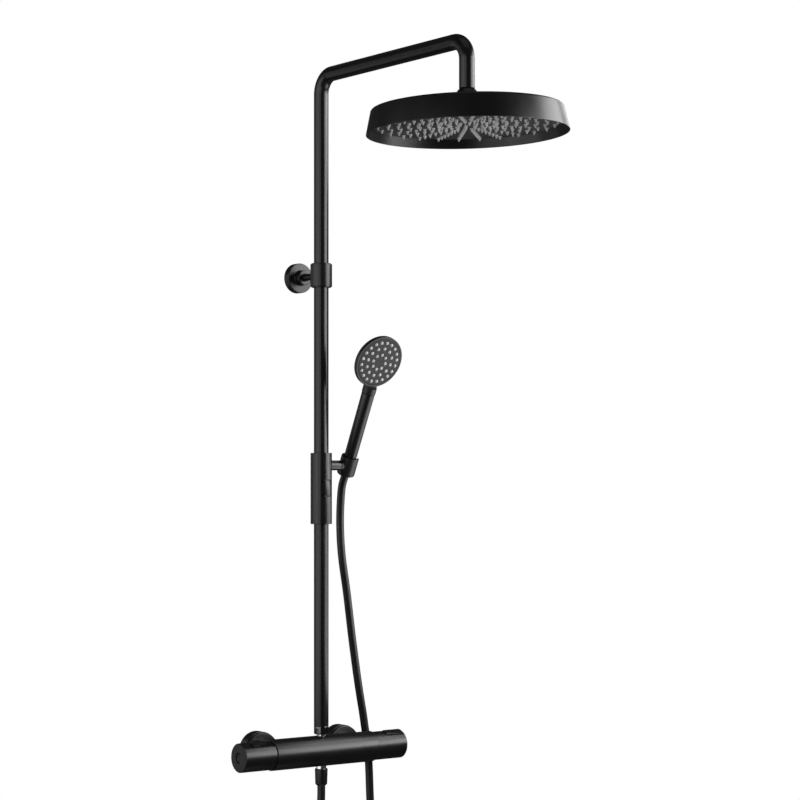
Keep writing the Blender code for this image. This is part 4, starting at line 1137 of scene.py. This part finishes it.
# -------------------------------------------------------------- hand shower
@dataclass
class HandShower:
    """The round hand shower: grip, neck and disc, face plate, nozzles and hose nut."""

    slider: Slider
    disc_from_cup: float = 172.0
    disc_diameter: float = 80.5
    rim: float = 6.6
    front: float = 5.0
    neck_length: float = 11.5
    neck_diameter: float = 21.0
    grip_top: float = 20.0
    grip_foot: float = 19.0
    foot_from_cup: float = 11.0
    grip_bore: float = 13.8
    nut_length: float = 26.6
    nozzle_rings: Sequence[tuple[float, int]] = ((11.5, 8), (21.5, 12), (31.0, 20))

    @property
    def seam(self) -> float:
        """Where the neck meets the grip, from the cup's centre."""
        return self.disc_from_cup - self.disc_diameter / 2 - self.neck_length

    def grip_matrix(self) -> Matrix:
        """The frame of the grip, from the cup's centre up."""
        return along(self.slider.cup_axis, (self.slider.cup_x, self.slider.axis_y, self.slider.cup_z))

    def face_matrix(self) -> Matrix:
        """The frame of the disc, Z out of its face."""
        axis = self.slider.cup_axis
        centre = Vector((self.slider.cup_x, self.slider.axis_y, self.slider.cup_z)) + axis * self.disc_from_cup
        return along(Vector((0, -axis.z, axis.y)), centre)

    def build(self) -> None:
        """Builds the hand shower."""
        self.build_grip()
        self.build_disc()
        self.build_face()

    def build_grip(self) -> None:
        """The tapered grip and the conical nut under it."""
        top, low, bore = self.grip_top / 2, self.grip_foot / 2, self.grip_bore / 2
        foot = self.foot_from_cup
        corners = [
            (bore, self.seam - 0.5, 0.2),
            (top, self.seam - 0.5, 0.5),
            (low, foot, 0.6),
            (bore, foot, 0.2),
        ]
        grip = settled(turned(corners, 128, True), self.grip_matrix())
        piece("grip_tube", grip, BLACK_PAINT, Body.HAND, ["hand_grip"])
        nut_top, nut_foot = foot - 0.3, foot - 0.3 - self.nut_length
        corners = [
            (bore, nut_top, 0.2),
            (self.slider.cup_top_bore / 2 - 1.2, nut_top, 0.4),
            (self.slider.cup_low_bore / 2 - 0.9, nut_foot + 1, 0.5),
            (self.slider.cup_low_bore / 2 - 1.6, nut_foot, 0.3),
            (3.9, nut_foot, 0.2),
            (3.9, foot - 11, 0.0),
            (bore, foot - 11, 0.0),
        ]
        nut = settled(turned(corners, 96, True), self.grip_matrix())
        piece("cone_nut", nut, BLACK_PAINT, Body.HAND, ["hose_nut_upper"])

    def build_disc(self) -> None:
        """The disc with its domed back, joined to the neck."""
        radius, front, back = self.disc_diameter / 2, self.front, self.front - self.rim
        corners = [
            (0, front - 1.6, 0),
            (radius - 3.4, front - 1.6, 0.1),
            (radius - 3.2, front, 0.25),
            (radius, front, 1.1),
            (radius, back, 2.2),
            (radius - 14, back - 2.8, 9.0),
            (radius - 30, back - 4.2, 6.0),
            (0, back - 4.2, 0),
        ]
        disc = settled(turned(corners, 144, False, 8), self.face_matrix())
        wide, top = self.neck_diameter / 2, self.disc_from_cup - 6
        corners = [
            (0, top, 0),
            (4.5, top - 1, 2.5),
            (8.6, top - 11, 7.0),
            (wide, top - 26, 5.0),
            (wide, self.seam, 0.7),
            (0, self.seam, 0),
        ]
        neck = settled(turned(corners, 96, False, 8), self.grip_matrix())
        trim = settled(slab(box_outline(60, 2 * (radius + 2.2), 5), front - 2, 30), self.face_matrix())
        neck = carved(neck, (trim, "DIFFERENCE"))
        way_top = self.seam + self.neck_length - 4
        way = turned([(0, way_top, 0), (6.6, way_top, 0), (6.6, self.seam - 3, 0), (0, self.seam - 3, 0)], 32)
        disc = carved(disc, (neck, "UNION"), (settled(way, self.grip_matrix()), "DIFFERENCE"))
        piece("hand_disc", disc, BLACK_PLASTIC, Body.HAND, ["hand_head_shell"])

    def build_face(self) -> None:
        """The face plate and its nozzles."""
        radius = self.disc_diameter / 2 - 3.7
        corners = [(0, self.front, 0), (radius, self.front, 0.4), (radius, self.front - 1.3, 0), (0, self.front - 1.3, 0)]
        plate = settled(turned(corners, 144), self.face_matrix())
        piece("hand_face", plate, HAND_FACE_GREY, Body.HAND, ["hand_face_plate"])
        field_ = NozzleField("hand_nozzle_rings", self.nozzle_rings, 2.4, 1.1, 1.9, 12, math.radians(9))
        flip = Matrix.Translation((0, 0, self.front * MM)) @ Matrix.Rotation(math.pi, 4, "X")
        piece("hand_nozzles", settled(field_.mesh(), self.face_matrix() @ flip), PALE_SILICONE, Body.HAND)


# ---------------------------------------------------------------- rain head
@dataclass
class RainHead:
    """The wide round head on its ball: collar nut, shell, spray plate and nozzles."""

    y: float = -414.0
    ball_z: float = 217.0
    tilt_x: float = -1.0
    tilt_y: float = -1.1
    ball_diameter: float = 22.0
    nut_diameter: float = 33.0
    top_diameter: float = 265.0
    rim_diameter: float = 280.0
    height: float = 34.0
    rim_z: float = 168.8
    wall: float = 1.5
    recess: float = 12.7
    plate_thickness: float = 2.0
    spokes: int = 26
    outer_ring: float = 123.0
    ring_step: float = 13.8
    ring_count: int = 7
    inner_rings: Sequence[tuple[float, int]] = ((26.5, 13), (13.0, 6))

    @property
    def top(self) -> float:
        """The shell's top, from the ball's centre."""
        return self.rim_z + self.height - self.ball_z

    def matrix(self) -> Matrix:
        """The head's own frame, tilted about the ball."""
        turn = Euler((math.radians(self.tilt_x), math.radians(self.tilt_y), 0)).to_matrix().to_4x4()
        return Matrix.Translation(Vector((0, self.y, self.ball_z)) * MM) @ turn

    def build(self) -> None:
        """Builds the head."""
        self.build_nut()
        self.build_shell()
        self.build_plate()

    def build_nut(self) -> None:
        """The domed collar nut round the ball."""
        radius, socket = self.nut_diameter / 2, self.ball_diameter / 2 + 1.3
        outside = [(radius * math.cos(math.radians(a)), radius * math.sin(math.radians(a)), 0.0) for a in range(56, -1, -4)]
        inside = [(socket * math.cos(math.radians(a)), socket * math.sin(math.radians(a)), 0.0) for a in range(-35, 42, 7)]
        low = self.top + 0.3
        corners = outside + [(radius, low, 0.5), (inside[0][0], low, 0.2)] + inside + [(9.2, 12.0, 0.3)]
        piece("ball_collar", settled(turned(corners, 112, True), self.matrix()), BLACK_PAINT, Body.HEAD, ["ball_nut"])

    def build_shell(self) -> None:
        """The thin shell with a skirt that widens to the rim."""
        top, rim = self.top, self.top - self.height
        top_r, rim_r = self.top_diameter / 2, self.rim_diameter / 2
        corners = [
            (5, top + 2.2, 0.2),
            (9.6, top + 2.2, 0.3),
            (9.6, top, 0.3),
            (top_r, top, 3.6),
            (rim_r, rim, 0.6),
            (rim_r - self.wall, rim, 0.4),
            (top_r - self.wall - 0.2, top - 2.3, 3.0),
            (5, top - self.wall - 0.8, 0.0),
        ]
        shell = settled(turned(corners, 220, True, 8), self.matrix())
        piece("rain_shell", shell, BLACK_PAINT, Body.HEAD, ["head_shell"])

    def build_plate(self) -> None:
        """The grey spray plate and its field of nozzles."""
        rim = self.top - self.height
        low = rim + self.recess
        high = low + self.plate_thickness
        slope = (self.rim_diameter - self.top_diameter) / 2 / (self.height - 4)
        radius = self.rim_diameter / 2 - self.wall - slope * (self.recess + self.plate_thickness) - 0.9
        corners = [(0, high, 0), (radius, high, 0.4), (radius, low, 0.9), (0, low, 0)]
        plate = settled(turned(corners, 220), self.matrix())
        piece("rain_plate", plate, FACE_GREY, Body.HEAD, ["spray_plate"])
        rings = [(self.outer_ring - self.ring_step * i, self.spokes) for i in range(self.ring_count)]
        rings += list(self.inner_rings)
        field_ = NozzleField("rain_nozzle_rings", rings, 2.7, 0.8, 4.6, 12, math.radians(1.7))
        mesh = settled(field_.mesh(), self.matrix() @ Matrix.Translation((0, 0, low * MM)))
        piece("rain_nozzles", mesh, PALE_SILICONE, Body.HEAD)


# --------------------------------------------------------------------- hose
@dataclass
class Hose:
    """The smooth hose from the hand shower to the nut under the bar."""

    hand: HandShower
    riser: Riser
    diameter: float = 12.0
    sides: int = 32
    rings: int = 420
    follow_from: float = -770.0
    chosen: Sequence[tuple[float, float, float]] = (
        (50.4, -45.2, -340),
        (51.0, -43.0, -375),
        (54.4, -42.2, -418),
        (67.0, -38.6, -480),
        (80.3, -34.0, -550),
        (94.5, -30.2, -620),
        (106.5, -28.0, -675),
        (115.2, -27.5, -730),
        (118.6, -28.0, -800),
        (121.5, -30.5, -880),
        (123.5, -35.0, -950),
        (118.0, -40.5, -1006),
        (98.0, -46.0, -1050),
        (61.0, -51.5, -1070),
        (25.0, -56.0, -1052),
        (4.0, -60.0, -1008),
        (-3.5, -63.0, -950),
        (-4.6, -65.0, -880),
        (-2.2, -66.0, -822),
    )

    def route(self) -> list[Vector]:
        """The chosen places of the hose's centre, in millimetres.

        Returns:
            The places from the hand shower's nut to the nut under the bar.
        """
        slider = self.hand.slider
        cup = Vector((slider.cup_x, slider.axis_y, slider.cup_z))
        axis = slider.cup_axis
        start = cup + axis * (self.hand.foot_from_cup - 0.6 - self.hand.nut_length)
        end = Vector((0, self.riser.axis_y, self.riser.nut_top_z - self.riser.nut_height - 0.3))
        middle = [Vector(place) for place in self.chosen]
        return [start, start - axis * 18, *middle, end - Vector((0, 0, 14)), end]

    def smooth(self, count: int) -> list[Vector]:
        """Evenly spaced places on a smooth curve through the route.

        Args:
            count: How many places to return.

        Returns:
            The places, in millimetres.
        """
        chosen = self.route()
        dense: list[Vector] = []
        padded = [2 * chosen[0] - chosen[1], *chosen, 2 * chosen[-1] - chosen[-2]]
        for a, b, c, d in zip(padded, padded[1:], padded[2:], padded[3:]):
            t0 = 0.0
            t1 = t0 + (b - a).length ** 0.5
            t2 = t1 + (c - b).length ** 0.5
            t3 = t2 + (d - c).length ** 0.5
            for step in range(24):
                t = t1 + (t2 - t1) * step / 24
                p = a.lerp(b, (t - t0) / (t1 - t0))
                q = b.lerp(c, (t - t1) / (t2 - t1))
                r = c.lerp(d, (t - t2) / (t3 - t2))
                u = p.lerp(q, (t - t0) / (t2 - t0))
                v = q.lerp(r, (t - t1) / (t3 - t1))
                dense.append(u.lerp(v, (t - t1) / (t2 - t1)))
        dense.append(chosen[-1])
        reach = [0.0]
        for before, after in zip(dense, dense[1:]):
            reach.append(reach[-1] + (after - before).length)
        places: list[Vector] = []
        index = 0
        for step in range(count):
            wanted = reach[-1] * step / (count - 1)
            while index < len(dense) - 2 and reach[index + 1] < wanted:
                index += 1
            share = (wanted - reach[index]) / (reach[index + 1] - reach[index])
            places.append(dense[index].lerp(dense[index + 1], share))
        return places

    def build(self) -> None:
        places = self.smooth(self.rings)
        vertices: list[Vector] = []
        faces: list[list[int]] = []
        side = Vector((1, 0, 0))
        for index, place in enumerate(places):
            ahead = (places[min(index + 1, len(places) - 1)] - places[max(index - 1, 0)]).normalized()
            side = (side - ahead * side.dot(ahead)).normalized()
            up = ahead.cross(side)
            for step in range(self.sides):
                angle = FULL_TURN * step / self.sides
                offset = side * math.cos(angle) + up * math.sin(angle)
                vertices.append((place + offset * self.diameter / 2) * MM)
        for index in range(len(places) - 1):
            for step in range(self.sides):
                after = (step + 1) % self.sides
                here, there = index * self.sides, (index + 1) * self.sides
                faces.append([here + step, here + after, there + after, there + step])
        faces.append(list(reversed(range(self.sides))))
        faces.append(list(range((len(places) - 1) * self.sides, len(places) * self.sides)))
        mesh = bpy.data.meshes.new("hose")
        mesh.from_pydata([tuple(v) for v in vertices], [], faces)
        tube = piece("hose_tube", mesh, HOSE_SLEEVE, None, ["hose"])
        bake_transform(tube)


# ------------------------------------------------------------------- studio
@dataclass
class Studio:
    """Camera, soft lights, pale surroundings and a floor."""

    camera_place: tuple[float, float, float] = (-1.858, -2.724, -0.30117)
    camera_yaw: float = 37.05
    lens: float = 97.45
    rise: float = 0.096
    sideways: float = -0.0006
    floor_z: float = -1.9
    floor_radius: float = 0.55
    lights: Sequence[tuple[str, tuple[float, float, float], tuple[float, float, float], float, float, float]] = field(
        default_factory=lambda: [
            ("overhead", (-0.3, -0.9, 2.2), (0.0, -0.2, -0.2), 2.2, 1.6, 3.0),
            ("front_left", (-2.2, -1.0, -0.15), (0.0, -0.1, -0.35), 2.1, 2.2, 16.0),
            ("left_wall", (-2.3, 0.6, -0.15), (0.0, -0.1, -0.35), 2.2, 2.2, 17.0),
            ("back_left", (-1.0, 2.0, -0.3), (0.0, -0.1, -0.35), 1.0, 2.0, 2.6),
            ("right_strip", (1.46, -1.73, 0.3), (0.0, -0.07, -0.2), 1.8, 1.3, 36.0),
            ("head_side", (1.0, -0.69, 0.57), (0.1, -0.5, 0.19), 0.7, 0.4, 4.2),
            ("head_back", (0.62, -0.1, 0.36), (0.1, -0.5, 0.19), 0.45, 0.3, 1.0),
            ("under_head", (0.5, -0.45, -0.45), (0.0, -0.42, 0.17), 0.7, 0.7, 3.8),
        ]
    )

    def build_camera(self) -> None:
        """Sets up the camera."""
        data = bpy.data.cameras.new("camera")
        data.lens = self.lens
        data.shift_y = self.rise
        data.shift_x = self.sideways
        data.clip_end = 50.0
        camera = bpy.data.objects.new("camera", data)
        camera.location = self.camera_place
        camera.rotation_euler = (math.radians(90), 0.0, math.radians(-self.camera_yaw))
        bpy.context.scene.collection.objects.link(camera)
        bpy.context.scene.camera = camera

    def build_light(
        self,
        name: str,
        place: tuple[float, float, float],
        target: tuple[float, float, float],
        width: float,
        height: float,
        power: float,
    ) -> None:
        """Adds one soft panel.

        Args:
            name: The light's name.
            place: Where it is, in metres.
            target: The point that it faces.
            width: Its width.
            height: Its height.
            power: Its power in watts.
        """
        data = bpy.data.lights.new(name, "AREA")
        data.shape = "RECTANGLE"
        data.size, data.size_y, data.energy = width, height, power
        lamp = bpy.data.objects.new(name, data)
        lamp.location = place
        lamp.rotation_mode = "QUATERNION"
        lamp.rotation_quaternion = (Vector(target) - Vector(place)).to_track_quat("-Z", "Y")
        bpy.context.scene.collection.objects.link(lamp)

    def build_surroundings(self) -> None:
        """A white background that lights the piece only gently."""
        world = bpy.data.worlds.new("surroundings")
        bpy.context.scene.world = world
        world.use_nodes = True
        nodes, links = world.node_tree.nodes, world.node_tree.links
        seen = nodes["Background"]
        seen.inputs["Color"].default_value = (1.0, 1.0, 1.0, 1.0)
        seen.inputs["Strength"].default_value = 1.0
        soft = nodes.new("ShaderNodeBackground")
        soft.inputs["Color"].default_value = (1.0, 1.0, 1.0, 1.0)
        soft.inputs["Strength"].default_value = 0.04
        ray = nodes.new("ShaderNodeLightPath")
        mix = nodes.new("ShaderNodeMixShader")
        links.new(ray.outputs["Is Camera Ray"], mix.inputs["Fac"])
        links.new(soft.outputs[0], mix.inputs[1])
        links.new(seen.outputs[0], mix.inputs[2])
        links.new(mix.outputs[0], nodes["World Output"].inputs["Surface"])
        bpy.context.scene.view_settings.view_transform = "Standard"

    def build_floor(self) -> None:
        """A round pale floor under the piece."""
        corners = [(0, 0, 0), (self.floor_radius / MM, 0, 0), (self.floor_radius / MM, -8, 0), (0, -8, 0)]
        mesh = settled(turned(corners, 128), Matrix.Translation((0, -0.2, self.floor_z)))
        mesh.materials.append(FLOOR_PAINT.material())
        floor = bpy.data.objects.new("floor", finished(mesh))
        bpy.context.scene.collection.objects.link(floor)

    def build(self) -> None:
        """Adds the lights, the surroundings and the floor."""
        for light in self.lights:
            self.build_light(*light)
        self.build_surroundings()
        self.build_floor()


# ------------------------------------------------------- carried-over solids
@dataclass
class PlainSolids:
    """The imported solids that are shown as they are, each in its own finish."""

    finishes: dict[str, Finish] = field(
        default_factory=lambda: {
            "thermostat_cartridge": WHITE_PLASTIC,
            "diverter_cartridge": WHITE_PLASTIC,
            "cartridge_nut_left": BRASS,
            "cartridge_nut_right": BRASS,
            "wall_union_left": BRASS,
            "wall_union_right": BRASS,
            "union_gasket_left": BLACK_RUBBER,
            "union_gasket_right": BLACK_RUBBER,
            "check_valve_left": WHITE_PLASTIC,
            "check_valve_right": WHITE_PLASTIC,
            "hose_washer": BLACK_RUBBER,
            "riser_coupling": BRASS,
            "collar_grub_screw": STEEL,
            "wall_screw_left": STEEL,
            "wall_screw_right": STEEL,
            "swivel_ball": CHROME,
            "ball_seat": WHITE_PLASTIC,
            "nozzle_mat": PALE_SILICONE,
            "slider_bush_upper": WHITE_PLASTIC,
            "slider_bush_lower": WHITE_PLASTIC,
            "holder_bolt": STEEL,
            "hand_connector": BRASS,
            "hand_washer": BLACK_RUBBER,
        }
    )

    def dress(self, nodes: dict[str, bpy.types.Object]) -> None:
        """Gives each shown solid its finish.

        Args:
            nodes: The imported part's solids by name.
        """
        for name, finish in self.finishes.items():
            solid = nodes[name]
            solid.data.materials.clear()
            solid.data.materials.append(finish.material())
            LOG.info("%s: %s", name, finish.name)


def clear_start_scene() -> None:
    """Removes what a new scene starts with."""
    for item in list(bpy.data.objects):
        bpy.data.objects.remove(item)


def main() -> None:
    """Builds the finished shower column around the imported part."""
    logging.basicConfig(level=logging.INFO, format="%(name)s %(message)s")
    clear_start_scene()
    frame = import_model()
    studio = Studio()
    studio.build_camera()
    riser = Riser()
    slider = Slider()
    hand = HandShower(slider)
    riser.build()
    slider.build()
    hand.build()
    Hose(hand, riser).build()
    MixerBar().build()
    WallBracket().build()
    RainHead().build()
    PlainSolids().dress(frame["nodes"])
    studio.build()


if __name__ == "__main__":
    main()
